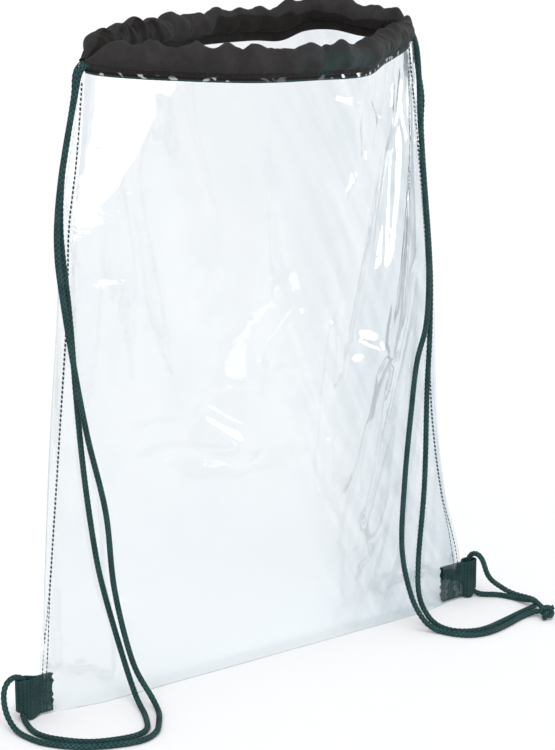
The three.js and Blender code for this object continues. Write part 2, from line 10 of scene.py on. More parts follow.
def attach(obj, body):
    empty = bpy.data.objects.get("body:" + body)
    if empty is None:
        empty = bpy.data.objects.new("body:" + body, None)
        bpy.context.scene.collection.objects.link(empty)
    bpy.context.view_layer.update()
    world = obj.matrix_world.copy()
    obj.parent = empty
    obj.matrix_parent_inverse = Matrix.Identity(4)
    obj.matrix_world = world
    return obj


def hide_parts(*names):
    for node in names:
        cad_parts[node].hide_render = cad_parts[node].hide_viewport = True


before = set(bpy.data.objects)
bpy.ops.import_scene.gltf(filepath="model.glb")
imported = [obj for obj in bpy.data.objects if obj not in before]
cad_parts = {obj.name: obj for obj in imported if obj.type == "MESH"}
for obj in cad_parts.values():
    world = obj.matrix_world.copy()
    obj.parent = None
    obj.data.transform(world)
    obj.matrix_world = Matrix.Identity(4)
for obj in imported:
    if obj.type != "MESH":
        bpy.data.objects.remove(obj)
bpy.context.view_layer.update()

bl_info = {
    "name": "Clear drawstring backpack",
    "version": (1, 0, 0),
    "blender": (4, 5, 0),
    "location": "View3D > Sidebar > Backpack",
    "description": "Dresses the backpack's frame with its sheet, casings, tabs, cords, stitches and stage",
    "category": "Object",
}

MM = 0.001
BODY = "root"
SIGN = {"front": -1, "back": 1}

# Sizes in millimetres, and shares of a panel's width or height
SEAM_HALF = 170
SEAM_MARGIN_LEFT = 7.4
SEAM_MARGIN_RIGHT = 4.6
SEAM_MARGIN_TOP = 2.8
SEAM_MARGIN_FOOT = 2.2
SEAM_BOW = 9
SEAM_BOW_AT = 125
SEAM_BOW_HALF = 90
LEFT_BULGE = 2.6
LEFT_BULGE_AT = 302
LEFT_BULGE_HALF = 32
SEAM_BOW_UP = (0.05, 0.2)
SEAM_BOW_ACROSS = (0.6, 1)
LEFT_BULGE_ACROSS = (0.75, 1)
MARGIN_FOOT_UP = (0, 0.5)
MARGIN_TOP_UP = (0.78, 0.96)
MARGIN_SPREAD_UP = (0.2, 0.5)
MARGIN_SPREAD = 0.5
BACK_MARGIN_SHARE = 0.9
BASE_FLAT = 8
BASE_ROUND = 2
BASE_END_RUN = 45
BASE_GAP = 0.25
LAYER_HALF = 0.75
SEWN_HALF = 0.3
SEWN_RUN = 0.03
TAB_ROOM = 1.9
TAB_ROOM_UP = (0.08, 0.2)
HEM_HEIGHT = 5.5
HEM_HALF = 1.45
HEM_INNER_DROP = 0.6
HEM_INNER_FLARE = 0.55
CASING_RISE = 18.5
CASING_HALF = 5
CASING_END_HALF = 2.4
CASING_END_RISE = 7.2
CASING_END_RUN = 0.1
CLOTH_END = 0.006
LEFT_TAPER = 0.055
RIGHT_TAPER = 0.032
CORNER_SWELL = 7
CORNER_AT = 0.075
CORNER_HALF = 0.04
PLEAT_SEED = {"front": 11, "back": 23}
PLEATS_BETWEEN = (0.03, 0.97)
CORD_FLOOR = 2.0
CORD_OUT = 1.1
CORD_OUT_RUN = (0.03, 0.12)
CORD_RISE = {"left": 14.2, "right": 9.7}
FAR_SEAM_DIP = 8
WEBBING_WIDTH = 25
TAB_NECK = 173
TAB_EYE_RUN = 4.8
TAB_EYE = {"left": 183.8, "right": 180.2}
TAB_INNER_END = {"left": 162.4, "right": 154.5}
TAB_BEND = 4.0
TAB_LEG = 0.8
TAB_FOOT = 1.6
TAB_SAG = 0.8
TAB_LIFT = 5.6
TAB_TOP_LIFT = 0.8
KNOT_AT = (193.9, -66.4, 5.6)

# Flat sizes of the sheets, in metres
SHEET_FLAT = (0.354, 0.83)
CASING_FLAT = (0.34, 0.058)

# Camera of the photograph, in metres
CAMERA_AT = (-0.9225, -1.2962, 0.6648)
CAMERA_TARGET = (0.0129, 0.0, 0.1913)
CAMERA_LENS = 123.3

# Lower edge of the casing from the left seam to the right seam: x, y, z
MOUTH_ROWS = {
    "front": [
        (-130, 0, 404), (-121, -10, 402), (-94, -32, 400), (-51, -63, 398.5), (-12, -76, 398),
        (21, -77, 397), (56, -50, 397), (88, -26, 397), (106, -10.5, 396.5), (113, -3.6, 399), (117, 0, 404),
    ],
    "back": [
        (-130, 0, 404), (-116, 10, 402), (-95, 29, 400.5), (-58, 55, 399), (0, 76.5, 397.5), (45, 76, 397),
        (67, 72, 395.5), (83, 65, 401.5), (97, 53, 402.5), (108, 38, 399.5), (114, 18, 399.5), (117, 0, 404),
    ],
}

# Wide folds of the clear sheet: across, up, to across, to up, width, push outwards
FOLDS = {
    "front": [
        (0.59, 0.99, 0.64, 0.88, 9, -3.2), (0.88, 0.86, 0.68, 0.32, 13, 4), (0.8, 0.84, 0.6, 0.4, 12, -4),
        (0.94, 0.6, 0.76, 0.2, 11, -3.5), (0.12, 0.9, 0.14, 0.62, 22, 2.6), (0.46, 0.56, 0.54, 0.44, 20, -4),
        (0.2, 0.38, 0.44, 0.35, 14, 4), (0.62, 0.5, 0.82, 0.5, 9, 2.5), (0.14, 0.14, 0.24, 0.1, 15, 2.5),
    ],
    "back": [
        (0.3, 0.8, 0.42, 0.4, 20, 4), (0.62, 0.75, 0.5, 0.3, 16, -4), (0.82, 0.6, 0.74, 0.25, 14, 3.5),
    ],
}

# Sharp creases of the clear sheet: width, push outwards, then the places it runs through as across and up
CREASES = {
    "front": [
        (2.2, -2.2, [(0.585, 0.998), (0.662, 0.953), (0.745, 0.912)]),
        (3, 1.0, [(0.478, 0.968), (0.557, 0.953), (0.738, 0.915)]),
        (3.2, 1.6, [(0.828, 0.985), (0.75, 0.775), (0.69, 0.557)]),
        (3, -1.6, [(0.895, 0.988), (0.815, 0.833), (0.755, 0.55)]),
        (3, 1.7, [(0.965, 0.98), (0.87, 0.79), (0.81, 0.522)]),
        (2.6, -1.4, [(0.98, 0.96), (0.93, 0.78), (0.86, 0.505)]),
        (4, 2.6, [(0.603, 0.848), (0.547, 0.782)]),
        (5, 1.2, [(0.43, 0.86), (0.44, 0.763), (0.5, 0.625)]),
        (3.2, 3.2, [(0.5, 0.625), (0.463, 0.595), (0.415, 0.53)]),
        (3.2, 3.0, [(0.463, 0.595), (0.468, 0.505)]),
        (3.2, 3.0, [(0.463, 0.595), (0.5, 0.54), (0.542, 0.512)]),
        (3, 2.4, [(0.545, 0.6), (0.61, 0.56), (0.75, 0.517), (0.838, 0.482)]),
        (4, 2.6, [(0.143, 0.422), (0.155, 0.448), (0.188, 0.455), (0.288, 0.455), (0.405, 0.395)]),
        (4, 2.4, [(0.13, 0.393), (0.22, 0.415), (0.405, 0.395)]),
        (4, 0.9, [(0.408, 0.325), (0.598, 0.203)]),
        (2.4, -1.5, [(0.74, 0.417), (0.652, 0.215)]),
        (2.6, 1.8, [(0.8, 0.46), (0.723, 0.182)]),
        (2.6, -1.6, [(0.87, 0.245), (0.7, 0.085)]),
        (2.6, 1.3, [(0.677, 0.147), (0.69, 0.168), (0.738, 0.163), (0.743, 0.135), (0.695, 0.133)]),
        (2.6, 1.2, [(0.058, 0.208), (0.07, 0.165), (0.055, 0.138)]),
        (2.2, 0.9, [(0.012, 0.122), (0.025, 0.11), (0.058, 0.118), (0.1, 0.143)]),
        (6, 1.6, [(0.13, 0.98), (0.15, 0.955), (0.048, 0.785)]),
        (7, 1.0, [(0.198, 0.818), (0.33, 0.91)]),
        (5, 0.9, [(0.143, 0.688), (0.198, 0.76)]),
        (6, 1.1, [(0.022, 0.67), (0.177, 0.688), (0.25, 0.638)]),
    ],
    "back": [
        (4, 1.5, [(0.2, 0.96), (0.27, 0.7), (0.24, 0.45)]),
        (4, -1.4, [(0.42, 0.97), (0.5, 0.72), (0.46, 0.5)]),
        (3.6, 1.6, [(0.7, 0.97), (0.64, 0.74), (0.68, 0.52)]),
        (4, 1.4, [(0.86, 0.9), (0.8, 0.6), (0.84, 0.35)]),
        (4, 1.4, [(0.3, 0.36), (0.5, 0.3), (0.66, 0.34)]),
        (3.4, -1.2, [(0.16, 0.3), (0.28, 0.16)]),
        (3.4, 1.3, [(0.74, 0.28), (0.86, 0.12)]),
    ],
}

# Gathers of the casing: place along the panel, half width as a share, swell outwards, lift of the top edge
GATHERS = {
    "front": [
        (0.07, 0.02, 3, 2), (0.135, 0.024, 4.5, 4.2), (0.225, 0.022, 3.6, 4.2), (0.288, 0.018, 4.6, 5),
        (0.345, 0.02, 3, 3.6), (0.405, 0.018, 4, 1), (0.455, 0.018, 4.4, 3), (0.525, 0.024, 3.2, 3.8),
        (0.6, 0.022, 4.4, 4.4), (0.67, 0.02, 3, 2), (0.745, 0.024, 4, 2.4), (0.83, 0.024, 3.6, 1.4),
        (0.91, 0.02, 2.4, -1.6),
    ],
    "back": [
        (0.08, 0.02, 3, 2.4), (0.15, 0.022, 4, 3.4), (0.23, 0.022, 3.4, 3.2), (0.29, 0.02, 4.2, 4.2),
        (0.355, 0.02, 3, 1.6), (0.42, 0.018, 4.6, 5), (0.485, 0.02, 3, 1.4), (0.55, 0.02, 4, 3),
        (0.61, 0.018, 3, 1.6), (0.66, 0.018, 3.6, 2.2), (0.715, 0.02, 4.8, 6), (0.775, 0.02, 3.4, 4),
        (0.84, 0.022, 4, 3.6), (0.905, 0.02, 3, 1.4), (0.955, 0.018, 2, -0.5),
    ],
}

# Routes of the free cords: x, y, z, from the casing down the front and over the surface
LEFT_OUTER = [
    (-132.4, -3.6, 407.4), (-135.2, -4.4, 403.4), (-137.6, -5.8, 398.2),
    (-140.2, -7.4, 391.5), (-147.6, -9.5, 366.4), (-154.2, -12.5, 343.7), (-159, -15.2, 321),
    (-160.2, -16, 302), (-158.4, -16, 281), (-151.3, -16.5, 232), (-142.7, -17.2, 183),
    (-131.4, -18.4, 132), (-127.4, -20.4, 81), (-118, -25, 32), (-110, -34, 9), (-110, -42, 2),
    (-118, -55, 2), (-130, -69, 2), (-147, -73, 2), (-175, -62, 2), (-192.5, -43, 2), (-197.3, -28, 2),
    (-198.6, -16.5, 2.9), (-199.4, -8.5, 8.4), (-199.7, -5.2, 14.8), (-199.6, -4.2, 19.8),
]
LEFT_EYE = [
    (-198.8, -3.4, 24.6), (-196.4, -2.6, 28.4), (-192.8, -1.6, 30.3), (-188.6, -0.6, 30.3),
    (-184.9, 0, 28.9), (-182.6, 0.2, 25.9), (-181.8, 0.4, 21), (-182.3, 0.5, 16.4), (-183.3, 0.4, 12.4),
    (-184.2, -0.1, 9), (-184.9, -1.2, 5.9), (-185.6, -3.2, 3.5), (-186.3, -5.9, 2.2), (-187, -9, 2),
    (-188, -13, 2),
]
LEFT_INNER = [
    (-131.4, 2.3, 407), (-134.6, 0.7, 403), (-136.4, -1.2, 398),
    (-137.8, -2.6, 391), (-144.4, -5, 366.4), (-150.5, -7.5, 343.7), (-153.2, -9, 319),
    (-152.6, -9.4, 298), (-148.9, -9.8, 259.5), (-146.1, -11, 205), (-142.7, -12.2, 157),
    (-137.1, -14, 107), (-131.2, -15.2, 76), (-120, -18, 31), (-116, -25, 8), (-117, -34, 2),
    (-123, -48, 2), (-132, -62, 2), (-146, -65, 2), (-169, -57, 2), (-184, -41, 2), (-189.4, -29, 2),
    (-189.4, -19, 2),
]
RIGHT_OUTER = [
    (115.6, -3, 405.8), (119.5, -0.8, 404.9), (122.5, -0.5, 399.6), (123.5, -2.2, 391), (122.8, -5.5, 372),
    (121.5, -8.5, 350), (121, -12.4, 322), (126.4, -13.6, 258), (123.5, -16.5, 214), (112, -21, 188),
    (107, -22, 155), (102, -22.5, 108), (100, -23, 60), (103, -30, 27), (110, -36, 9), (117, -42, 2),
    (121, -50.4, 2), (126, -57.4, 2), (133, -62.4, 2), (144, -64.4, 2), (155, -63, 2), (166.4, -60, 2),
    (178, -56.4, 2), (186, -55.2, 2.3), (191.6, -57, 3.4), (194, -61, 4.8), (193.6, -65, 5.6),
]
RIGHT_INNER = [
    (118.2, 4.6, 407.4), (121.4, 3.6, 404), (123.8, 3.8, 398.4), (125.2, 3.2, 391), (126.4, 0.6, 379),
    (127, -3.2, 362), (125, -5.3, 345), (125, -8.2, 318), (131.5, -9, 250), (130, -12, 204),
    (126, -15, 163), (124, -16.5, 100), (117, -20, 48), (114, -25, 23), (118, -31, 8), (122.8, -38, 2),
    (124.6, -46, 2), (129, -51.6, 2), (135, -55.6, 2), (142, -57.6, 2), (151, -57.2, 2), (161.4, -55, 2),
    (172, -52.6, 2), (184, -49.6, 2), (194, -47.6, 2), (202, -45.2, 2), (207.6, -39.8, 2), (207.6, -32.4, 2),
    (204.8, -24.8, 2.1), (200.8, -18.4, 3.8), (196.4, -15.6, 7.2), (192, -14.2, 10.7), (187.6, -14, 14.6),
    (183.8, -14.5, 19.6), (181, -15.2, 25), (180.3, -12.9, 31), (179.9, -6.9, 33.7), (179.5, -0.9, 31),
    (179.4, 1.4, 25.2), (179.4, 1.4, 18), (179.5, 1.2, 12), (180, 0.2, 7.6), (181, -1.8, 4.4),
    (182.8, -4.4, 2.6), (185, -7, 2), (187.8, -9.4, 2), (191, -11.6, 2), (194.2, -14.8, 2),
    (197.2, -20, 2), (199.8, -27.6, 2.2), (200.6, -36, 3.4), (199.8, -45.2, 6.3), (197.6, -54, 6.5),
    (195.2, -61.4, 6), (194, -65.4, 5.6),
]


def smooth_step(low, high, value):
    share = min(max((value - low) / (high - low), 0.0), 1.0)
    return share * share * (3 - 2 * share)


def mix(low, high, share):
    return low + (high - low) * share


def bell(value, middle, half):
    return math.exp(-((value - middle) / half) ** 2)


def spline_points(rows, per_step=24):
    """Points of a smooth curve through the rows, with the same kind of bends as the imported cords."""
    knots = np.array(rows, dtype=float)
    knots = np.vstack([2 * knots[0] - knots[1], knots, 2 * knots[-1] - knots[-2]])
    share = np.linspace(0, 1, per_step, endpoint=False)[:, None]
    points = []
    for i in range(1, len(knots) - 2):
        before, start, end, after = knots[i - 1:i + 3]
        leave = (end - before) / 2
        arrive = (after - start) / 2
        points.append(
            (2 * start - 2 * end + leave + arrive) * share ** 3
            + (-3 * start + 3 * end - 2 * leave - arrive) * share ** 2
            + leave * share + start
        )
    points.append(knots[-2][None, :])
    return np.vstack(points)


def length_along(points):
    return np.concatenate([[0], np.cumsum(np.linalg.norm(np.diff(points, axis=0), axis=1))])


def even_points(points, count):
    """The same curve with count points at equal distances."""
    length = length_along(points)
    at = np.linspace(0, length[-1], count)
    return np.stack([np.interp(at, length, points[:, k]) for k in range(3)], axis=1)


def eased(points, passes):
    """Rounds the bends of a line in place, with both ends kept."""
    for _ in range(passes):
        points[1:-1] += 0.25 * (points[:-2] - 2 * points[1:-1] + points[2:])


MOUTH_STEPS = 400
MOUTH = {side: even_points(spline_points(rows, 80), MOUTH_STEPS + 1) for side, rows in MOUTH_ROWS.items()}


def mouth_point(side, share):
    step = min(max(share, 0.0), 1.0) * MOUTH_STEPS
    low = min(int(step), MOUTH_STEPS - 1)
    return MOUTH[side][low] + (MOUTH[side][low + 1] - MOUTH[side][low]) * (step - low)


def mouth_outward(side, share):
    """Level direction away from the bag at one place on the casing's line."""
    ahead = mouth_point(side, share + 0.01) - mouth_point(side, share - 0.01)
    out = np.array([ahead[1], -ahead[0], 0.0])
    return out / np.linalg.norm(out) * -SIGN[side]


PANEL_WIDE = 2 * SEAM_HALF
PANEL_TALL = 396

# Where folds and creases fade out, as shares of the panel: at the sides, above the base, below the casing
FOLD_FADE = (0.08, (0.02, 0.1), 0.04)
CREASE_FADE = (0.03, (0.02, 0.06), 0.02)
CREASE_END_FADE = 0.3
FOLD_REACH = 3
CREASE_REACH = 5


def panel_place(across, up):
    return across * PANEL_WIDE, up * PANEL_TALL


def inside(across, up, sides, foot, top):
    """Share that rises from 0 at a panel's edges to 1 inside them."""
    edge = smooth_step(0, sides, across) * smooth_step(0, sides, 1 - across)
    return edge * smooth_step(*foot, up) * smooth_step(0, top, 1 - up)


def line_distance(place, start, end):
    """Distance from a place to a straight line between two others, and how far along the line that is."""
    run_x = end[0] - start[0]
    run_z = end[1] - start[1]
    from_x = place[0] - start[0]
    from_z = place[1] - start[1]
    share = (from_x * run_x + from_z * run_z) / (run_x * run_x + run_z * run_z)
    share = min(max(share, 0.0), 1.0)
    return math.hypot(from_x - run_x * share, from_z - run_z * share), share


def crease_ridge(place, width, places):
    """Share of a crease's height at one place: sharp on its line, fading towards both of its ends."""
    last = len(places) - 2
    best = 0.0
    for i in range(last + 1):
        away, share = line_distance(place, panel_place(*places[i]), panel_place(*places[i + 1]))
        if away > CREASE_REACH * width:
            continue
        fade = 1.0
        if i == 0:
            fade *= smooth_step(0, CREASE_END_FADE, share)
        if i == last:
            fade *= smooth_step(0, CREASE_END_FADE, 1 - share)
        rounded = math.sqrt(away * away + 1.2) - 1.1
        best = max(best, fade * math.exp(-rounded / width))
    return best


def fold_push(side, across, up):
    """Height that the wide folds and the sharp creases add to a panel at one place, in millimetres."""
    place = panel_place(across, up)
    wide = 0.0
    for start, low, end, high, width, depth in FOLDS[side]:
        away, _ = line_distance(place, panel_place(start, low), panel_place(end, high))
        if away < FOLD_REACH * width:
            wide += depth * bell(away, 0, width)
    sharp = sum(depth * crease_ridge(place, width, places) for width, depth, places in CREASES[side])
    return wide * inside(across, up, *FOLD_FADE) + sharp * inside(across, up, *CREASE_FADE)


def seam_bow(across, up):
    """How far the slack right seam draws the panels inwards, and the left seam outwards, at one place."""
    height = up * PANEL_TALL
    right = SEAM_BOW * bell(height, SEAM_BOW_AT, SEAM_BOW_HALF) * smooth_step(*SEAM_BOW_UP, up)
    left = LEFT_BULGE * bell(height, LEFT_BULGE_AT, LEFT_BULGE_HALF)
    return right * smooth_step(*SEAM_BOW_ACROSS, across) + left * smooth_step(*LEFT_BULGE_ACROSS, 1 - across)


def panel_point(side, across, up):
    """Middle of the sheet on one panel: across runs from seam to seam, up from the base to the casing."""
    mouth = mouth_point(side, across)
    base_x = SEAM_HALF * (2 * across - 1)
    base = (BASE_FLAT - TAB_ROOM) * smooth_step(0, BASE_END_RUN, SEAM_HALF - abs(base_x))
    room = TAB_ROOM * (1 - smooth_step(*TAB_ROOM_UP, up))
    apart = mix(SEWN_HALF, LAYER_HALF, smooth_step(0, SEWN_RUN, min(across, 1 - across)))
    depth = mix(base, abs(mouth[1]), up) + room + apart + fold_push(side, across, up)
    x = mix(base_x, mouth[0], up) - seam_bow(across, up)
    return Vector((x, SIGN[side] * depth, mix(BASE_ROUND + BASE_GAP, mouth[2], up)))


# Rows of the clear sheet from the front hem down to the middle of the base
HEM_ROWS = 3
WALL_ROWS = 150
ROUND_ROWS = 4
FLAT_ROWS = 2
HALF_ROWS = HEM_ROWS + WALL_ROWS + ROUND_ROWS + FLAT_ROWS
MARGIN_COLUMNS = 4
PANEL_COLUMNS = 136
SHEET_COLUMNS = PANEL_COLUMNS + 2 * MARGIN_COLUMNS


def clear_sheet_point(u, v):
    """Place of the clear sheet for u across and v from the front hem, under the base, to the back hem."""
    column = u * SHEET_COLUMNS - MARGIN_COLUMNS
    across = min(max(column / PANEL_COLUMNS, 0.0), 1.0)
    beyond = (column - across * PANEL_COLUMNS) / MARGIN_COLUMNS
    row = v * 2 * HALF_ROWS
    side = "front" if row <= HALF_ROWS else "back"
    row = min(row, 2 * HALF_ROWS - row)
    margin = SEAM_MARGIN_FOOT
    if row <= HEM_ROWS + WALL_ROWS:
        up = min(1.0, 1 - (row - HEM_ROWS) / WALL_ROWS)
        point = panel_point(side, across, up)
        point.z += HEM_HEIGHT * max(0.0, 1 - row / HEM_ROWS)
        widest = SEAM_MARGIN_LEFT if beyond < 0 else SEAM_MARGIN_RIGHT
        margin = mix(SEAM_MARGIN_FOOT, widest, smooth_step(*MARGIN_FOOT_UP, up))
        margin = mix(margin, SEAM_MARGIN_TOP, smooth_step(*MARGIN_TOP_UP, up))
        point.y += SIGN[side] * MARGIN_SPREAD * abs(beyond) * smooth_step(*MARGIN_SPREAD_UP, up)
    else:
        foot = panel_point(side, across, 0.0)
        depth = abs(foot.y)
        turn = min(1.0, (row - HEM_ROWS - WALL_ROWS) / ROUND_ROWS) * math.pi / 2
        flat = max(0.0, row - HEM_ROWS - WALL_ROWS - ROUND_ROWS) / FLAT_ROWS
        y = (depth - BASE_ROUND + BASE_ROUND * math.cos(turn)) * (1 - flat)
        point = Vector((foot.x, SIGN[side] * y, BASE_GAP + BASE_ROUND * (1 - math.sin(turn))))
    if side == "back":
        margin *= BACK_MARGIN_SHARE
    point.x += beyond * margin
    return point * MM


# Columns of the rows of gathers
SWELL = 2
LIFT = 3


def gather_at(side, along, column):
    total = 0.0
    for row in GATHERS[side]:
        away = (along - row[0]) / row[1]
        if abs(away) < 3:
            total += row[column] * math.exp(-away * away)
    return total


def pleat_rows(side):
    """Small pleats between the gathers: place, half width, depth and slant, the same on each run."""
    source = random.Random(PLEAT_SEED[side])
    rows = []
    place = PLEATS_BETWEEN[0]
    while place < PLEATS_BETWEEN[1]:
        half = source.uniform(0.0045, 0.009)
        depth = source.uniform(0.35, 1.25)
        slant = source.uniform(-0.02, 0.02)
        rows.append((place, half, depth, slant))
        place += source.uniform(0.011, 0.021)
    return rows


PLEATS = {side: pleat_rows(side) for side in SIGN}


def pleat_push(side, along, turn):
    total = 0.0
    for place, half, depth, slant in PLEATS[side]:
        away = (along + slant * math.sin(turn) - place) / half
        if abs(away) < 3:
            total += depth * math.exp(-away * away)
    return total


# Rows round the casing from its outer lower edge, over the top, to its inner lower edge
CASING_HEM_ROWS = 10
CASING_PUFF_ROWS = 52
CASING_ROWS = 2 * CASING_HEM_ROWS + CASING_PUFF_ROWS
CASING_COLUMNS = 400
HEM_TOP = HEM_HEIGHT + 0.6
CRUMPLE = 1.1
HEM_PLEAT = 0.25
PLEAT_RISE = 0.8
PUFF_ROUNDNESS = 0.8
INNER_GATHER = 0.7
INNER_GATHER_SHIFT = 0.04


def puff_crumple(side, along, turn):
    """Loose crumples of the casing's puffed part, from -1 to 1."""
    return noise.noise(Vector((along * 42, math.cos(turn) * 1.3, math.sin(turn) * 1.3 + 7 * SIGN[side])))


def casing_point(side, u, v):
    """Place of the folded casing cloth for u along the mouth and v round the channel."""
    along = mix(CLOTH_END, 1 - CLOTH_END, u)
    row = v * CASING_ROWS
    ends = smooth_step(0, CASING_END_RUN, min(along, 1 - along))
    full = smooth_step(0, LEFT_TAPER, along) * smooth_step(0, RIGHT_TAPER, 1 - along)
    top = mix(CASING_END_RISE, CASING_RISE + gather_at(side, along, LIFT), full)
    outer = mix(CASING_END_HALF, CASING_HALF + gather_at(side, along, SWELL), ends)
    corner = CORNER_SWELL * bell(along, CORNER_AT, CORNER_HALF)
    inwards = INNER_GATHER * gather_at(side, along + INNER_GATHER_SHIFT, SWELL)
    inner = mix(CASING_END_HALF, CASING_HALF + inwards + corner, ends)
    if row < CASING_HEM_ROWS:
        share = row / CASING_HEM_ROWS
        rise = mix(0.0, HEM_TOP, share)
        out = HEM_HALF + HEM_PLEAT * pleat_push(side, along, -math.pi / 2) * smooth_step(0.35, 1, share)
    elif row > CASING_ROWS - CASING_HEM_ROWS:
        share = (CASING_ROWS - row) / CASING_HEM_ROWS
        rise = mix(-HEM_INNER_DROP, HEM_TOP, share)
        out = -HEM_HALF - HEM_INNER_FLARE * max(0.0, 1 - share * 3)
    else:
        turn = mix(-math.pi / 2, 1.5 * math.pi, (row - CASING_HEM_ROWS) / CASING_PUFF_ROWS)
        sideways = math.cos(turn)
        upwards = math.sin(turn)
        swell = outer if sideways > 0 else inner
        rise = (HEM_TOP + top) / 2 + (top - HEM_TOP) / 2 * upwards
        if upwards < 0:
            out = math.copysign(HEM_HALF + (swell - HEM_HALF) * abs(sideways) ** PUFF_ROUNDNESS, sideways)
        else:
            out = swell * sideways
        pleat = pleat_push(side, along, turn) * (0.35 + 0.65 * smooth_step(-1.0, 0.4, upwards))
        pleat += CRUMPLE * puff_crumple(side, along, turn) * smooth_step(-1.0, -0.2, upwards)
        pleat *= 0.25 + 0.75 * ends
        rise += pleat * upwards * PLEAT_RISE
        out += pleat * sideways
    return Vector(on_mouth(side, along, out, rise)) * MM


def on_mouth(side, along, out, rise):
    """Place that far outside the casing's line and that far above it."""
    point = mouth_point(side, along).copy()
    point[1] += SIGN[side] * LAYER_HALF
    point += mouth_outward(side, along) * out
    point[2] += rise
    return point


def channel_points(side, rows):
    """Route inside a casing through rows of a place along it and a height above its line."""
    points = []
    for along, rise in rows:
        out = CORD_OUT * smooth_step(*CORD_OUT_RUN, min(along, 1 - along))
        points.append(tuple(on_mouth(side, along, out, rise)))
    return points


def cord_route(rows, spacing, passes=40):
    """A limp cord's middle line through the rows, at even spacing, eased and never below the surface."""
    points = spline_points(rows)
    points[:, 2] = np.maximum(points[:, 2], CORD_FLOOR)
    count = int(length_along(points)[-1] / spacing) + 1
    points = even_points(points, count)
    eased(points, passes)
    points[:, 2] = np.maximum(points[:, 2], CORD_FLOOR)
    return points


def carried_frames(points):
    """Two directions square to the route at each point, carried along it without twist."""
    ahead = np.gradient(points, axis=0)
    ahead /= np.linalg.norm(ahead, axis=1)[:, None]
    first = np.cross(ahead[0], (0.0, 0.0, 1.0))
    if np.linalg.norm(first) < 0.1:
        first = np.cross(ahead[0], (1.0, 0.0, 0.0))
    sides = np.zeros_like(points)
    side = first / np.linalg.norm(first)
    for i, direction in enumerate(ahead):
        side = side - direction * np.dot(side, direction)
        side /= np.linalg.norm(side)
        sides[i] = side
    return sides, np.cross(ahead, sides)


def new_mesh():
    bm = bmesh.new()
    bm.loops.layers.uv.new("UVMap")
    return bm


def smooth_faces(bm):
    for face in bm.faces:
        face.smooth = True


def mapped_grid(columns, rows, place, texture):
    """A grid of faces whose points and map are put where place and texture say for u and v from 0 to 1."""
    bm = new_mesh()
    bmesh.ops.create_grid(bm, x_segments=columns, y_segments=rows, size=0.5, calc_uvs=True)
    layer = bm.loops.layers.uv.active
    for face in bm.faces:
        for loop in face.loops:
            flat = loop.vert.co
            loop[layer].uv = texture(flat.x + 0.5, flat.y + 0.5)
    for vertex in bm.verts:
        vertex.co = place(vertex.co.x + 0.5, vertex.co.y + 0.5)
    smooth_faces(bm)
    return bm


BRAID_STRANDS = 4
BRAID_PITCH = 3.2


def braid_height(u, along):
    """Relief of the braid from 0 to 1 for a share u round the cord and a distance along it."""
    first = u * BRAID_STRANDS + along / BRAID_PITCH
    second = u * BRAID_STRANDS - along / BRAID_PITCH
    if (math.floor(first) + math.floor(second)) % 2 == 0:
        over, under = first, second
    else:
        over, under = second, first
    return abs(math.sin(math.pi * over)) * (0.65 + 0.35 * abs(math.sin(math.pi * under)))


def cord_mesh(points, radius, sides, relief):
    """A braided tube along the route, closed at both ends."""
    across, over = carried_frames(points)
    along = length_along(points)
    last = len(points) - 1

    def place(u, v):
        i = int(round(v * last))
        turn = 2 * math.pi * u
        size = radius * (1 - relief + relief * braid_height(u, along[i]))
        spot = points[i] + size * (math.cos(turn) * across[i] + math.sin(turn) * over[i])
        return Vector(spot) * MM

    def texture(u, v):
        return u * BRAID_STRANDS, along[int(round(v * last))] / BRAID_PITCH

    bm = mapped_grid(sides, last, place, texture)
    bmesh.ops.remove_doubles(bm, verts=bm.verts, dist=1e-7)
    rims = [edge for edge in bm.edges if edge.is_boundary]
    bmesh.ops.holes_fill(bm, edges=rims, sides=0)
    bmesh.ops.recalc_face_normals(bm, faces=bm.faces)
    return bm


def link_object(name, data):
    made = bpy.data.objects.new(name, data)
    bpy.context.scene.collection.objects.link(made)
    return made


def finish_piece(name, bm, material, nodes=()):
    """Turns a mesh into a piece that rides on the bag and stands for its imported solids."""
    if not bm.faces:
        raise RuntimeError(name + " has no faces")
    mesh = bpy.data.meshes.new(name)
    bm.to_mesh(mesh)
    bm.free()
    mesh.materials.append(material)
    piece = link_object(name, mesh)
    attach(piece, BODY)
    if nodes:
        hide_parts(*nodes)
    return piece


def thicken(piece, thickness):
    wall = piece.modifiers.new("wall", "SOLIDIFY")
    wall.thickness = thickness
    wall.offset = 0
    wall.use_quality_normals = True


# Shader nodes

MIX_COLOUR_INPUTS = (0, 6, 7)
MIX_COLOUR_OUTPUT = 2
FALLING = (1.0, 0.0)


def plug(tree, value, socket):
    """Links a socket to another one, or sets it to a plain value."""
    if isinstance(value, bpy.types.NodeSocket):
        tree.links.new(value, socket)
    else:
        socket.default_value = value


def fill(tree, node, **inputs):
    """Plugs a node's inputs by name, with an underscore for each space."""
    for name, value in inputs.items():
        plug(tree, value, node.inputs[name.replace("_", " ")])


def add_node(tree, kind, **inputs):
    made = tree.nodes.new(kind)
    fill(tree, made, **inputs)
    return made


def group_node(tree, group, **inputs):
    made = tree.nodes.new("ShaderNodeGroup")
    made.node_tree = group
    fill(tree, made, **inputs)
    return made.outputs


def math_node(tree, operation, *values):
    made = tree.nodes.new("ShaderNodeMath")
    made.operation = operation
    for socket, value in zip(made.inputs, values):
        plug(tree, value, socket)
    return made.outputs[0]


def map_range(tree, value, low=0.0, high=1.0, to_low=0.0, to_high=1.0):
    made = add_node(
        tree, "ShaderNodeMapRange", Value=value, From_Min=low, From_Max=high, To_Min=to_low, To_Max=to_high)
    return made.outputs["Result"]


def noise_node(tree, vector, scale, detail):
    return add_node(tree, "ShaderNodeTexNoise", Vector=vector, Scale=scale, Detail=detail).outputs["Fac"]


def bump_node(tree, height, **inputs):
    return add_node(tree, "ShaderNodeBump", Height=height, **inputs).outputs["Normal"]


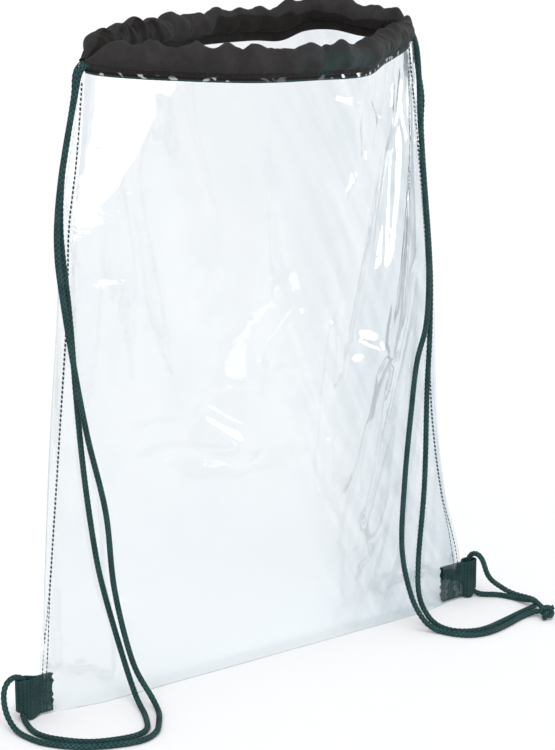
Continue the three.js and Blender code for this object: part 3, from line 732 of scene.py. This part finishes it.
def split_node(tree, vector):
    return add_node(tree, "ShaderNodeSeparateXYZ", Vector=vector).outputs


def mix_colour(tree, share, first, second):
    made = tree.nodes.new("ShaderNodeMix")
    made.data_type = "RGBA"
    for index, value in zip(MIX_COLOUR_INPUTS, (share, first, second)):
        plug(tree, value, made.inputs[index])
    return made.outputs[MIX_COLOUR_OUTPUT]


def new_group(name, inputs, outputs):
    group = bpy.data.node_groups.new(name, "ShaderNodeTree")
    for label, kind, default in inputs:
        socket = group.interface.new_socket(name=label, in_out="INPUT", socket_type=kind)
        if default is not None:
            socket.default_value = default
    for label, kind in outputs:
        group.interface.new_socket(name=label, in_out="OUTPUT", socket_type=kind)
    enter = group.nodes.new("NodeGroupInput")
    leave = group.nodes.new("NodeGroupOutput")
    return group, enter.outputs, leave.inputs


def ridges(tree, value):
    """Rounded ridges from 0 to 1, one for each whole step of the value."""
    wave = math_node(tree, "SINE", math_node(tree, "MULTIPLY", value, math.pi))
    return math_node(tree, "ABSOLUTE", wave)


def woven_threads():
    """Plain weave of two sets of threads: height of the cloth and a mask for painted shade, low between the
    threads.
    """
    group = bpy.data.node_groups.get("woven_threads")
    if group:
        return group
    group, given, result = new_group(
        "woven_threads",
        [
            ("Vector", "NodeSocketVector", None), ("Warp", "NodeSocketFloat", 1.0),
            ("Weft", "NodeSocketFloat", 1.0),
        ],
        [("Height", "NodeSocketFloat"), ("GapShade", "NodeSocketFloat")],
    )
    apart = split_node(group, given["Vector"])
    warp = math_node(group, "MULTIPLY", apart["X"], given["Warp"])
    weft = math_node(group, "MULTIPLY", apart["Y"], given["Weft"])
    cells = math_node(group, "ADD", math_node(group, "FLOOR", warp), math_node(group, "FLOOR", weft))
    over = math_node(group, "FLOORED_MODULO", cells, 2.0)
    under = math_node(group, "SUBTRACT", 1.0, over)
    warp_height = math_node(group, "MULTIPLY", ridges(group, warp), over)
    weft_height = math_node(group, "MULTIPLY", ridges(group, weft), under)
    height = math_node(group, "ADD", warp_height, weft_height)
    group.links.new(height, result["Height"])
    group.links.new(math_node(group, "POWER", height, 1.1), result["GapShade"])
    return group


def fibre_tone_and_gap_shade():
    """Slow drift between two colours of cloth, with painted shade that darkens it where the mask is low,
    between the threads.
    """
    group = bpy.data.node_groups.get("fibre_tone_and_gap_shade")
    if group:
        return group
    group, given, result = new_group(
        "fibre_tone_and_gap_shade",
        [
            ("Vector", "NodeSocketVector", None), ("Scale", "NodeSocketFloat", 60.0),
            ("Colour", "NodeSocketColor", None), ("Second Colour", "NodeSocketColor", None),
            ("Mask", "NodeSocketFloat", 1.0), ("Depth", "NodeSocketFloat", 0.4),
        ],
        [("Colour", "NodeSocketColor"), ("Roughness", "NodeSocketFloat")],
    )
    cloud = noise_node(group, given["Vector"], given["Scale"], detail=3.0)
    share = map_range(group, cloud, low=0.38, high=0.62)
    drift = mix_colour(group, share, given["Colour"], given["Second Colour"])
    # Painted shade: darker between the threads, as deep as the given depth.
    gap_shade = math_node(group, "MULTIPLY", math_node(group, "SUBTRACT", 1.0, given["Mask"]), given["Depth"])
    group.links.new(mix_colour(group, gap_shade, drift, (0.0, 0.0, 0.0, 1.0)), result["Colour"])
    group.links.new(map_range(group, cloud, to_low=0.7, to_high=0.9), result["Roughness"])
    return group


def shade(colour, factor):
    return tuple(value * factor for value in colour)


def opaque(colour):
    return (*colour, 1)


def new_material(name):
    material = bpy.data.materials.new(name)
    material.use_nodes = True
    tree = material.node_tree
    place = tree.nodes.new("ShaderNodeTexCoord").outputs
    return material, tree, tree.nodes["Principled BSDF"], place


def weave_onto(tree, shader, spot, place, counts, scale, colours, depth, sheen):
    """Gives a shader the look of woven threads on the map place, with painted shade between the threads, and
    returns the threads' height.
    """
    weave = group_node(tree, woven_threads(), Vector=place, Warp=counts[0], Weft=counts[1])
    tone = group_node(
        tree, fibre_tone_and_gap_shade(), Vector=spot, Mask=weave["GapShade"], Scale=scale, Depth=depth,
        Colour=opaque(colours[0]), Second_Colour=opaque(colours[1]))
    fill(
        tree, shader, Base_Color=tone["Colour"], Roughness=tone["Roughness"], Sheen_Weight=sheen,
        Sheen_Roughness=0.5, Specular_IOR_Level=0.15)
    return weave["Height"]


def cloth_material(name, colours, scale, counts, bump, sheen, depth=0.4):
    """Woven cloth on the piece's own UV map, with a drift between two colours and painted shade between the
    threads.
    """
    material, tree, shader, place = new_material(name)
    height = weave_onto(tree, shader, place["Object"], place["UV"], counts, scale, colours, depth, sheen)
    fill(tree, shader, Normal=bump_node(tree, height, Distance=bump, Strength=0.6))
    return material


# The casing's map runs in metres along the mouth and from the outer lower edge over the top to the inner one
PATCHES_ALONG = (0.138, 0.16)
PATCHES_BELOW = (0.014, 0.027)
HEM_BAND_BELOW = (0.0036, 0.0043)
GREEN_EDGE_BELOW = (0.0013, 0.0017)
# Painted shade inside the casing: where it begins round the channel, how much its edge wanders, and its
# near-black colour, which the hem band shares
INNER_SHADE_BEYOND = (0.0398, 0.0406)
INNER_SHADE_WANDER = 0.012
INNER_SHADE_AND_HEM_COLOUR = (0.009, 0.0075, 0.0065)
WRINKLE_COUNTS = (150.0, 26.0, 1.0)

# Where the edge of the painted shade inside the casing moves: from and to along the mouth, shift towards the
# top
INNER_SHADE_STEPS = (
    (0.012, 0.02, 0.004), (0.118, 0.127, -0.021), (0.172, 0.184, 0.015), (0.236, 0.25, -0.004),
)


def casing_material(name, colour, second):
    """Charcoal cloth with greenish patches on its right part, a green lower edge, a dark hem band and painted
    shade, near black, on its inner side.
    """
    material = cloth_material(
        name, (colour, shade(colour, 0.8)), scale=60.0, counts=(1900.0, 1900.0), bump=0.00012, sheen=0.02)
    tree = material.node_tree
    shader = tree.nodes["Principled BSDF"]
    tone = shader.inputs["Base Color"].links[0].from_socket
    threads = shader.inputs["Normal"].links[0].from_socket
    place = tree.nodes.new("ShaderNodeTexCoord").outputs["UV"]
    along, over, _ = split_node(tree, place)

    patch = map_range(tree, noise_node(tree, place, scale=75.0, detail=5.0), low=0.4, high=0.58, to_high=0.75)
    green = math_node(tree, "MULTIPLY", patch, map_range(tree, along, *PATCHES_ALONG))
    green = math_node(tree, "MULTIPLY", green, map_range(tree, over, *PATCHES_BELOW, *FALLING))
    patched = mix_colour(tree, green, tone, opaque(second))

    # Painted shade: past a wandering line on the inner side the cloth turns near black, as the inside of the
    # channel is in shade.
    wander = noise_node(tree, place, scale=26.0, detail=2.0)
    depth = math_node(tree, "ADD", over, math_node(tree, "MULTIPLY", wander, INNER_SHADE_WANDER))
    for low, high, shift in INNER_SHADE_STEPS:
        depth = math_node(tree, "ADD", depth, map_range(tree, along, low, high, to_high=shift))
    band = map_range(tree, over, *HEM_BAND_BELOW, *FALLING)
    black = math_node(tree, "MAXIMUM", map_range(tree, depth, *INNER_SHADE_BEYOND), band)
    inner_shaded = mix_colour(tree, black, patched, opaque(INNER_SHADE_AND_HEM_COLOUR))
    edge = map_range(tree, over, *GREEN_EDGE_BELOW, *FALLING)

    drawn = tree.nodes.new("ShaderNodeVectorMath")
    drawn.operation = "MULTIPLY"
    plug(tree, place, drawn.inputs[0])
    plug(tree, WRINKLE_COUNTS, drawn.inputs[1])
    wrinkles = noise_node(tree, drawn.outputs["Vector"], scale=1.0, detail=3.0)
    beads = map_range(tree, noise_node(tree, place, scale=140.0, detail=1.0), low=0.56, high=0.6)
    fill(
        tree, shader, Base_Color=mix_colour(tree, edge, inner_shaded, opaque(second)),
        Normal=bump_node(tree, wrinkles, Distance=0.004, Strength=0.5, Normal=threads),
        Coat_Weight=math_node(tree, "MULTIPLY", beads, band), Coat_IOR=1.9, Coat_Roughness=0.12)
    return material


def braid_material(name, colours):
    """Braided cord: the two slanted sets of strands run round the cord on its own UV map, with deep painted
    shade between the strands.
    """
    material, tree, shader, place = new_material(name)
    apart = split_node(tree, place["UV"])
    right = math_node(tree, "ADD", apart["X"], apart["Y"])
    left = math_node(tree, "SUBTRACT", apart["X"], apart["Y"])
    slanted = add_node(tree, "ShaderNodeCombineXYZ", X=right, Y=left).outputs["Vector"]
    # Painted shade between the strands: depth 0.95 darkens the gaps nearly to black.
    weave_onto(
        tree, shader, place["Object"], slanted, counts=(1.0, 1.0), scale=120.0, colours=colours, depth=0.95,
        sheen=0.04)
    fibres = noise_node(tree, place["Object"], scale=2600.0, detail=2.0)
    fill(tree, shader, Normal=bump_node(tree, fibres, Distance=0.0002, Strength=0.4))
    return material


# The sheet's map runs in metres across and from the front hem to the back hem
# Painted shade of the folds: slanted grey streaks over the right part, and the grey that the streaks, the
# base and the clouds turn to
GREY_ACROSS = (0.21, 0.3)
GREY_FROM_BASE = (0.01, 0.2)
GREY_TINT = (0.82, 0.855, 0.875)
STREAK_SLANT = 0.4
STREAK_COUNT = 11.0

# Where the tabs press the two layers together, in metres from the bag's middle and above the surface
PRESSED_BEYOND = (0.149, 0.154)
PRESSED_BELOW = (0.026, 0.031)
PRESSED_GLOSS = 0.15
SHADOW_TINT = (0.985, 0.99, 0.992)


def clear_material(name, tint):
    """Clear soft plastic: glossy, faintly tinted, greyer in slanted streaks of painted fold shade on its
    right part, towards the base and in faint clouds, and clear for shadows as well.
    """
    material, tree, shader, place = new_material(name)
    waves = noise_node(tree, place["Object"], scale=26.0, detail=2.0)
    dimples = noise_node(tree, place["Object"], scale=240.0, detail=2.0)
    height = math_node(tree, "ADD", waves, math_node(tree, "MULTIPLY", dimples, 0.06))
    relief = bump_node(tree, height, Distance=0.004, Strength=0.35)

    apart = split_node(tree, place["UV"])
    # Painted shade: slanted grey streaks where the folds on the right part look darker.
    across = math_node(tree, "ADD", apart["X"], math_node(tree, "MULTIPLY", apart["Y"], STREAK_SLANT))
    narrow = math_node(tree, "MULTIPLY", across, STREAK_COUNT)
    drawn = add_node(tree, "ShaderNodeCombineXYZ", X=narrow, Y=apart["Y"]).outputs["Vector"]
    fold_shade_streaks = map_range(tree, noise_node(tree, drawn, scale=9.0, detail=3.0), low=0.2, high=0.6)
    greyer = math_node(tree, "MULTIPLY", fold_shade_streaks, map_range(tree, apart["X"], *GREY_ACROSS, to_low=0.06))
    from_base = math_node(tree, "ABSOLUTE", math_node(tree, "SUBTRACT", apart["Y"], SHEET_FLAT[1] / 2))
    low = map_range(tree, from_base, *GREY_FROM_BASE, to_low=0.2, to_high=0.0)
    greyer = math_node(tree, "MAXIMUM", greyer, low)
    cloudy = map_range(tree, waves, low=0.42, high=0.7, to_high=0.16)
    greyer = math_node(tree, "MAXIMUM", greyer, cloudy)
    grey = opaque(value * share for value, share in zip(tint, GREY_TINT))

    spot = split_node(tree, place["Object"])
    beyond = map_range(tree, math_node(tree, "ABSOLUTE", spot["X"]), *PRESSED_BEYOND)
    pressed = math_node(tree, "MULTIPLY", beyond, map_range(tree, spot["Z"], *PRESSED_BELOW, *FALLING))
    glints = noise_node(tree, place["Object"], scale=170.0, detail=2.0)
    dulled = math_node(tree, "MULTIPLY", pressed, map_range(tree, glints, 0.54, 0.6, *FALLING))
    fill(
        tree, shader, Base_Color=mix_colour(tree, greyer, opaque(tint), grey), Normal=relief,
        Roughness=map_range(tree, dimples, to_low=0.02, to_high=0.07), Transmission_Weight=1.0, IOR=1.06,
        Coat_Weight=map_range(tree, dulled, to_low=1.0, to_high=PRESSED_GLOSS), Coat_Normal=relief,
        Coat_IOR=1.48, Coat_Roughness=0.03)

    clear = add_node(tree, "ShaderNodeBsdfTransparent", Color=opaque(SHADOW_TINT))
    path = tree.nodes.new("ShaderNodeLightPath")
    both = tree.nodes.new("ShaderNodeMixShader")
    sources = (path.outputs["Is Shadow Ray"], shader.outputs["BSDF"], clear.outputs["BSDF"])
    for source, socket in zip(sources, both.inputs):
        tree.links.new(source, socket)
    tree.links.new(both.outputs["Shader"], tree.nodes["Material Output"].inputs["Surface"])
    return material


def floor_material(name, colour):
    """Pale matt floor with a barely seen grain."""
    material, tree, shader, place = new_material(name)
    grain = noise_node(tree, place["Object"], scale=30.0, detail=3.0)
    grained = mix_colour(tree, grain, opaque(colour), opaque(shade(colour, 0.985)))
    fill(tree, shader, Base_Color=grained, Roughness=0.9, Specular_IOR_Level=0.1)
    return material


# Properties that a user would change

def length_property(name, description, default):
    return bpy.props.FloatProperty(name=name, description=description, default=default, unit="LENGTH")


def colour_property(name, description, default):
    return bpy.props.FloatVectorProperty(
        name=name, description=description, subtype="COLOR", default=default, min=0, max=1)


class BackpackSizes(bpy.types.PropertyGroup):
    film: length_property("Film", "Thickness of the clear sheet", 0.00045)
    cloth: length_property("Cloth", "Thickness of the casing's cloth", 0.0006)
    cord: length_property("Cord", "Diameter of the braided cord", 0.0038)
    webbing: length_property("Webbing", "Thickness of the webbing", 0.0011)
    stitch: length_property("Stitch", "Length of one stitch", 0.0026)
    thread: length_property("Thread", "Thickness of the sewing thread", 0.00075)


class BackpackColours(bpy.types.PropertyGroup):
    clear: colour_property("Clear sheet", "Tint of one layer of the clear sheet", (0.955, 0.968, 0.975))
    casing: colour_property("Casing", "Colour of the casing's cloth", (0.035, 0.0315, 0.0325))
    casing_second: colour_property(
        "Casing patches", "Colour of the casing's patches and of its lower edge", (0.024, 0.056, 0.054))
    cord: colour_property("Cord", "Colour of the braided cord", (0.027, 0.092, 0.092))
    webbing: colour_property("Webbing", "Colour of the corner tabs", (0.019, 0.068, 0.069))
    thread: colour_property("Thread", "Colour of the side seams' thread", (0.012, 0.04, 0.04))
    floor: colour_property("Floor", "Colour of the floor", (0.93, 0.93, 0.935))


# Soft boxes that show as reflections alone: name, place, place it faces, width and height, brightness
SOFT_BOXES = (
    ("left_soft_box", (-1.6, -1.42, 0.55), (-0.1, 0, 0.3), (1.1, 1.1), 5.0),
    ("right_soft_box", (0.95, -1.75, 0.6), (0, 0, 0.2), (0.7, 0.9), 6.5),
    ("side_soft_box", (1.8, -0.1, 0.6), (0, 0, 0.2), (0.8, 1.1), 4.5),
    ("low_soft_box", (0.72, -0.95, 0.22), (0, 0, 0.2), (0.8, 0.4), 9.0),
    ("floor_soft_box", (0.06, -0.385, 0.006), (0.06, -0.375, 1.0), (0.1, 0.05), 2.4),
)
UNSEEN_BOX = "floor_soft_box"
FLOOR_HALF = 12
AIR_COLOUR = (0.97, 0.985, 1.0)
AIR_STRENGTH = 0.65
HIGH_LIGHT_STRENGTH = 1.85
HIGH_LIGHT_SPREAD = 50
HIGH_LIGHT_TURN = (28, -24, 0)


def turn_towards(made, at, target):
    made.location = at
    made.rotation_euler = (Vector(target) - Vector(at)).to_track_quat("-Z", "Y").to_euler()


def soft_box(name, at, target, size, radiance):
    """A soft box at one place, facing another, whose surface has the given brightness."""
    data = bpy.data.lights.new(name, "AREA")
    data.shape = "RECTANGLE"
    data.size, data.size_y = size
    data.energy = radiance * math.pi * size[0] * size[1]
    light = link_object(name, data)
    turn_towards(light, at, target)
    light.visible_transmission = False
    light.visible_diffuse = False
    if name == UNSEEN_BOX:
        light.visible_camera = False


class BACKPACK_OT_stage(bpy.types.Operator):
    """Makes the camera, the floor and the studio light"""
    bl_idname = "backpack.stage"
    bl_label = "Camera, floor and light"

    def execute(self, context):
        view = bpy.data.cameras.new("photo_camera")
        view.sensor_fit = "VERTICAL"
        view.sensor_height = 36
        view.lens = CAMERA_LENS
        view.clip_end = 100
        camera = link_object("photo_camera", view)
        turn_towards(camera, CAMERA_AT, CAMERA_TARGET)
        context.scene.camera = camera

        bm = new_mesh()
        bmesh.ops.create_grid(bm, x_segments=4, y_segments=4, size=FLOOR_HALF, calc_uvs=True)
        mesh = bpy.data.meshes.new("studio_floor")
        bm.to_mesh(mesh)
        bm.free()
        mesh.materials.append(floor_material("pale_floor", context.scene.backpack_colours.floor))
        link_object("studio_floor", mesh)

        world = bpy.data.worlds.new("studio_air")
        world.use_nodes = True
        fill(
            world.node_tree, world.node_tree.nodes["Background"], Color=opaque(AIR_COLOUR),
            Strength=AIR_STRENGTH)
        context.scene.world = world
        context.scene.view_settings.view_transform = "Standard"

        sun = bpy.data.lights.new("high_soft_light", "SUN")
        sun.energy = HIGH_LIGHT_STRENGTH
        sun.angle = math.radians(HIGH_LIGHT_SPREAD)
        high = link_object("high_soft_light", sun)
        high.rotation_euler = [math.radians(turn) for turn in HIGH_LIGHT_TURN]
        high.visible_transmission = False
        for row in SOFT_BOXES:
            soft_box(*row)
        return {"FINISHED"}


# The cords' route where they leave the casings: place along the mouth, height above the casing's line
LEFT_FALL = ((0.07, 12.4), (0.04, 9.6), (0.012, 5.6))
RIGHT_FALL = ((0.93, 9.7), (0.955, 8.4), (0.976, 6.6))
HIDDEN_STOPS = np.linspace(0.072, 0.95, 26)
ROUTE_SPACING = 0.55
HIDDEN_SPACING = 1.2
HIDDEN_PASSES = 8
PATH_STEP = 4
CORD_SWELL = 1.04


class BACKPACK_OT_cords(bpy.types.Operator):
    """Makes the braided cords and their knot"""
    bl_idname = "backpack.cords"
    bl_label = "Cords and knot"

    def execute(self, context):
        sizes = context.scene.backpack_sizes
        colour = context.scene.backpack_colours.cord
        braid = braid_material("green_braid", (colour, shade(colour, 0.72)))
        radius = sizes.cord / 2 / MM

        def lay(name, rows, nodes):
            points = cord_route(rows, ROUTE_SPACING)
            bm = cord_mesh(points, radius * CORD_SWELL, sides=24, relief=0.24)
            piece = finish_piece(name, bm, braid, nodes)
            path = [tuple(point * MM) for point in points[::PATH_STEP]]
            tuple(path[0])
            float(length_along(points)[-1] * MM)

        start = channel_points("front", LEFT_FALL)
        end = channel_points("back", LEFT_FALL)
        left = start + LEFT_OUTER + LEFT_EYE + list(reversed(end + LEFT_INNER))
        lay("cord_left", left, ("cord_left_outer", "cord_left_eye", "cord_left_inner"))

        knot = finish_piece("cord_knot", knot_mesh(radius), braid, ("knot_right",))
        right = channel_points("front", RIGHT_FALL) + RIGHT_OUTER
        lay("cord_right_front", right, ("cord_right_outer",))
        right = channel_points("back", RIGHT_FALL) + RIGHT_INNER
        lay("cord_right_back", right, ("cord_right_inner", "cord_right_eye"))

        for side, node in (("left", "cord_left_in_casing"), ("right", "cord_right_in_casing")):
            stops = HIDDEN_STOPS if side == "left" else 1 - HIDDEN_STOPS
            rows = [(stop, CORD_RISE[side]) for stop in stops]
            front = channel_points("front", rows)
            back = channel_points("back", rows)
            between = np.mean([front[-1], back[-1]], axis=0) - (0, 0, FAR_SEAM_DIP)
            points = cord_route(front + [tuple(between)] + back[::-1], HIDDEN_SPACING, HIDDEN_PASSES)
            bm = cord_mesh(points, radius, sides=14, relief=0.1)
            finish_piece(node + "_braid", bm, braid, (node,))
        return {"FINISHED"}


# The knot's loop, before it is scaled, and its two cut tails from the knot's middle
KNOT_RING = 1.9
KNOT_LOBE = 0.95
KNOT_DEPTH = 1.25
KNOT_SCALE = (1.5, 1.55, 1.5)
KNOT_TAILS = (
    ((0.5, -1, 1.5), (2, -1.8, 2.8), (3, -2.4, 3.5), (3.7, -2.8, 3.8)),
    ((1.5, 0.5, -0.5), (3.2, 0.4, 0.8), (4.4, 0.2, 1.6)),
)


def knot_mesh(radius):
    """A tight three-lobed knot with two short cut tails."""
    bm = new_mesh()
    turns = np.linspace(0, 2 * math.pi, 121)
    ring = KNOT_RING + KNOT_LOBE * np.cos(3 * turns)
    loop = [ring * np.cos(2 * turns), KNOT_DEPTH * np.sin(3 * turns), ring * np.sin(2 * turns)]
    routes = [np.stack(loop, axis=1) * KNOT_SCALE + np.array(KNOT_AT)]
    for tail in KNOT_TAILS:
        routes.append(even_points(spline_points(np.array(tail) + KNOT_AT), 14))
    for route in routes:
        part = cord_mesh(route, radius * 0.93, sides=16, relief=0.12)
        mesh = bpy.data.meshes.new("knot_strand")
        part.to_mesh(mesh)
        part.free()
        bm.from_mesh(mesh)
        bpy.data.meshes.remove(mesh)
    return bm


class BACKPACK_OT_clear_sheet(bpy.types.Operator):
    """Makes the clear sheet, folded under the bag and creased"""
    bl_idname = "backpack.clear_sheet"
    bl_label = "Clear sheet"

    def execute(self, context):
        clear = clear_material("clear_vinyl", context.scene.backpack_colours.clear)
        wide, tall = SHEET_FLAT
        bm = mapped_grid(
            SHEET_COLUMNS, 2 * HALF_ROWS, clear_sheet_point, lambda u, v: (u * wide, v * tall))
        piece = finish_piece("clear_sheet", bm, clear, ("clear_body",))
        thicken(piece, context.scene.backpack_sizes.film)
        return {"FINISHED"}


class BACKPACK_OT_casings(bpy.types.Operator):
    """Makes the two gathered casings"""
    bl_idname = "backpack.casings"
    bl_label = "Casings"

    def execute(self, context):
        colours = context.scene.backpack_colours
        cloth = casing_material("charcoal_cloth", colours.casing, colours.casing_second)
        wide, tall = CASING_FLAT
        for side in SIGN:
            bm = mapped_grid(
                CASING_COLUMNS, CASING_ROWS, lambda u, v: casing_point(side, u, v),
                lambda u, v: (u * wide, v * tall))
            bmesh.ops.recalc_face_normals(bm, faces=bm.faces)
            piece = finish_piece("casing_cloth_" + side, bm, cloth, ("casing_" + side,))
            thicken(piece, context.scene.backpack_sizes.cloth)
        return {"FINISHED"}


TAB_COLUMNS = 420
TAB_ROWS = 30
FRAY_RUN = 4


def tab_path(inner_end, eye):
    """Line of a tab's folded webbing seen from above: along the front leg, round the eye and back."""
    turns = np.linspace(-math.pi / 2, math.pi / 2, 24)
    cap = [(eye + TAB_BEND * math.cos(turn), TAB_BEND * math.sin(turn), 0) for turn in turns]
    leg = [(inner_end, -TAB_LEG, 0), (TAB_NECK - 3, -TAB_LEG, 0), (TAB_NECK, -TAB_LEG, 0)]
    front = leg + [(eye - TAB_EYE_RUN, -TAB_BEND, 0)]
    back = [(x, -y, z) for x, y, z in reversed(front)]
    path = even_points(np.array(front + cap + back, dtype=float), 300)
    eased(path, 30)
    return path


def tab_point(sign, inner_end, eye, path, u, v):
    """Place of the webbing for u along its folded length and v up its width."""
    at = u * (len(path) - 1)
    low = min(int(at), len(path) - 2)
    spot = path[low] + (path[low + 1] - path[low]) * (at - low)
    x, y = float(spot[0]), float(spot[1])
    ragged = 1 - smooth_step(inner_end, inner_end + FRAY_RUN, x)
    fray = 1.6 * noise.noise(Vector((v * 9, y * 3, sign * 5)))
    fray += 0.7 * noise.noise(Vector((v * 31, y * 3, sign)))
    x += ragged * fray
    top_lift = TAB_TOP_LIFT * smooth_step(TAB_NECK, eye - 2, x)
    sag = TAB_SAG * smooth_step(TAB_NECK - 2, TAB_NECK + 4, x)
    foot_lift = TAB_LIFT * smooth_step(eye - 2, eye + 1.6, x) - sag
    z = v * WEBBING_WIDTH + TAB_FOOT + mix(foot_lift, top_lift, v)
    return Vector((sign * x, y, z)) * MM


class BACKPACK_OT_tabs(bpy.types.Operator):
    """Makes the webbing tabs at the lower corners"""
    bl_idname = "backpack.tabs"
    bl_label = "Corner tabs"

    def execute(self, context):
        colour = context.scene.backpack_colours.webbing
        # The webbing gets painted shade between its threads, with depth 0.8.
        cloth = cloth_material(
            "green_webbing", (colour, shade(colour, 0.75)), scale=90.0, counts=(660.0, 420.0), bump=0.0005,
            sheen=0.03, depth=0.8)
        for name, sign in (("left", -1), ("right", 1)):
            inner_end = TAB_INNER_END[name]
            eye = TAB_EYE[name]
            path = tab_path(inner_end, eye)
            length = length_along(path)[-1]
            bm = mapped_grid(
                TAB_COLUMNS, TAB_ROWS, lambda u, v: tab_point(sign, inner_end, eye, path, u, v),
                lambda u, v: (v * WEBBING_WIDTH * MM, u * length * MM))
            bmesh.ops.recalc_face_normals(bm, faces=bm.faces)
            piece = finish_piece("webbing_tab_" + name, bm, cloth, ("tab_" + name,))
            thicken(piece, context.scene.backpack_sizes.webbing)
        return {"FINISHED"}


# Lines of stitches: length to fill in metres, first and last share of the line, share to look ahead
SEAM_LINE = (0.4, 0.012, 0.985, 0.01)
CASING_LINE = (0.29, 0.01, 0.99, 0.004)
CASING_LINE_AT = 0.62 * CASING_HEM_ROWS / CASING_ROWS
STITCH_PITCH = 1.15


def add_stitch(bm, at, along, outward, length, thickness):
    """One rounded stitch lying on a surface."""
    along = along.normalized()
    side = outward.cross(along).normalized()
    up = along.cross(side)
    turn = Matrix((along, side, up)).transposed().to_4x4()
    size = Matrix.Diagonal((length / 2, thickness / 2, thickness / 2, 1))
    bmesh.ops.create_uvsphere(
        bm, u_segments=6, v_segments=5, radius=1, calc_uvs=True, matrix=Matrix.Translation(at) @ turn @ size)


def sew(bm, sizes, line, layer, place, outward):
    """A line of stitches on a layer, where place and outward give its surface for a share of the line."""
    length, first, last, reach = line
    count = int(length / (sizes.stitch * STITCH_PITCH))
    for i in range(count):
        share = mix(first, last, (i + 0.5) / count)
        ahead = place(share + reach) - place(share - reach)
        out = outward(share)
        add_stitch(bm, place(share) + out * layer / 2, ahead, out, sizes.stitch, sizes.thread)


def thread_material(name, colour, second):
    return cloth_material(name, (colour, second), scale=300.0, counts=(6.0, 3.0), bump=0.00008, sheen=0.02)


class BACKPACK_OT_stitches(bpy.types.Operator):
    """Sews the side seams and the casings"""
    bl_idname = "backpack.stitches"
    bl_label = "Stitches"

    def execute(self, context):
        sizes = context.scene.backpack_sizes
        colours = context.scene.backpack_colours
        green = thread_material("green_thread", colours.thread, shade(colours.thread, 0.7))
        dark = thread_material("charcoal_thread", shade(colours.casing, 0.6), shade(colours.casing, 0.4))
        for name, across in (("left", 0.0), ("right", 1.0)):
            bm = new_mesh()
            for side in SIGN:
                sew(
                    bm, sizes, SEAM_LINE, sizes.film, lambda up: panel_point(side, across, up) * MM,
                    lambda up: Vector((0, SIGN[side], 0)))
            smooth_faces(bm)
            finish_piece("seam_stitches_" + name, bm, green)
        for side in SIGN:
            bm = new_mesh()
            sew(
                bm, sizes, CASING_LINE, sizes.cloth, lambda u: casing_point(side, u, CASING_LINE_AT),
                lambda u: Vector(mouth_outward(side, mix(CLOTH_END, 1 - CLOTH_END, u))))
            smooth_faces(bm)
            finish_piece("casing_stitches_" + side, bm, dark)
        return {"FINISHED"}


class BACKPACK_PT_panel(bpy.types.Panel):
    """Lists the backpack's pieces, sizes and colours"""
    bl_idname = "BACKPACK_PT_panel"
    bl_label = "Clear drawstring backpack"
    bl_space_type = "VIEW_3D"
    bl_region_type = "UI"
    bl_category = "Backpack"

    def draw(self, context):
        for group in (context.scene.backpack_sizes, context.scene.backpack_colours):
            for name in group.__annotations__:
                self.layout.prop(group, name)
        for operator in OPERATORS:
            self.layout.operator(operator.bl_idname)


OPERATORS = (
    BACKPACK_OT_stage, BACKPACK_OT_cords, BACKPACK_OT_clear_sheet, BACKPACK_OT_casings, BACKPACK_OT_tabs,
    BACKPACK_OT_stitches,
)
CLASSES = (BackpackSizes, BackpackColours, *OPERATORS, BACKPACK_PT_panel)


def register():
    for item in CLASSES:
        bpy.utils.register_class(item)
    bpy.types.Scene.backpack_sizes = bpy.props.PointerProperty(type=BackpackSizes)
    bpy.types.Scene.backpack_colours = bpy.props.PointerProperty(type=BackpackColours)


def unregister():
    del bpy.types.Scene.backpack_colours
    del bpy.types.Scene.backpack_sizes
    for item in reversed(CLASSES):
        bpy.utils.unregister_class(item)


def main():
    register()
    bpy.ops.backpack.stage()
    bpy.ops.backpack.cords()
    bpy.ops.backpack.clear_sheet()
    bpy.ops.backpack.casings()
    bpy.ops.backpack.tabs()
    bpy.ops.backpack.stitches()


if __name__ == "__main__":
    main()
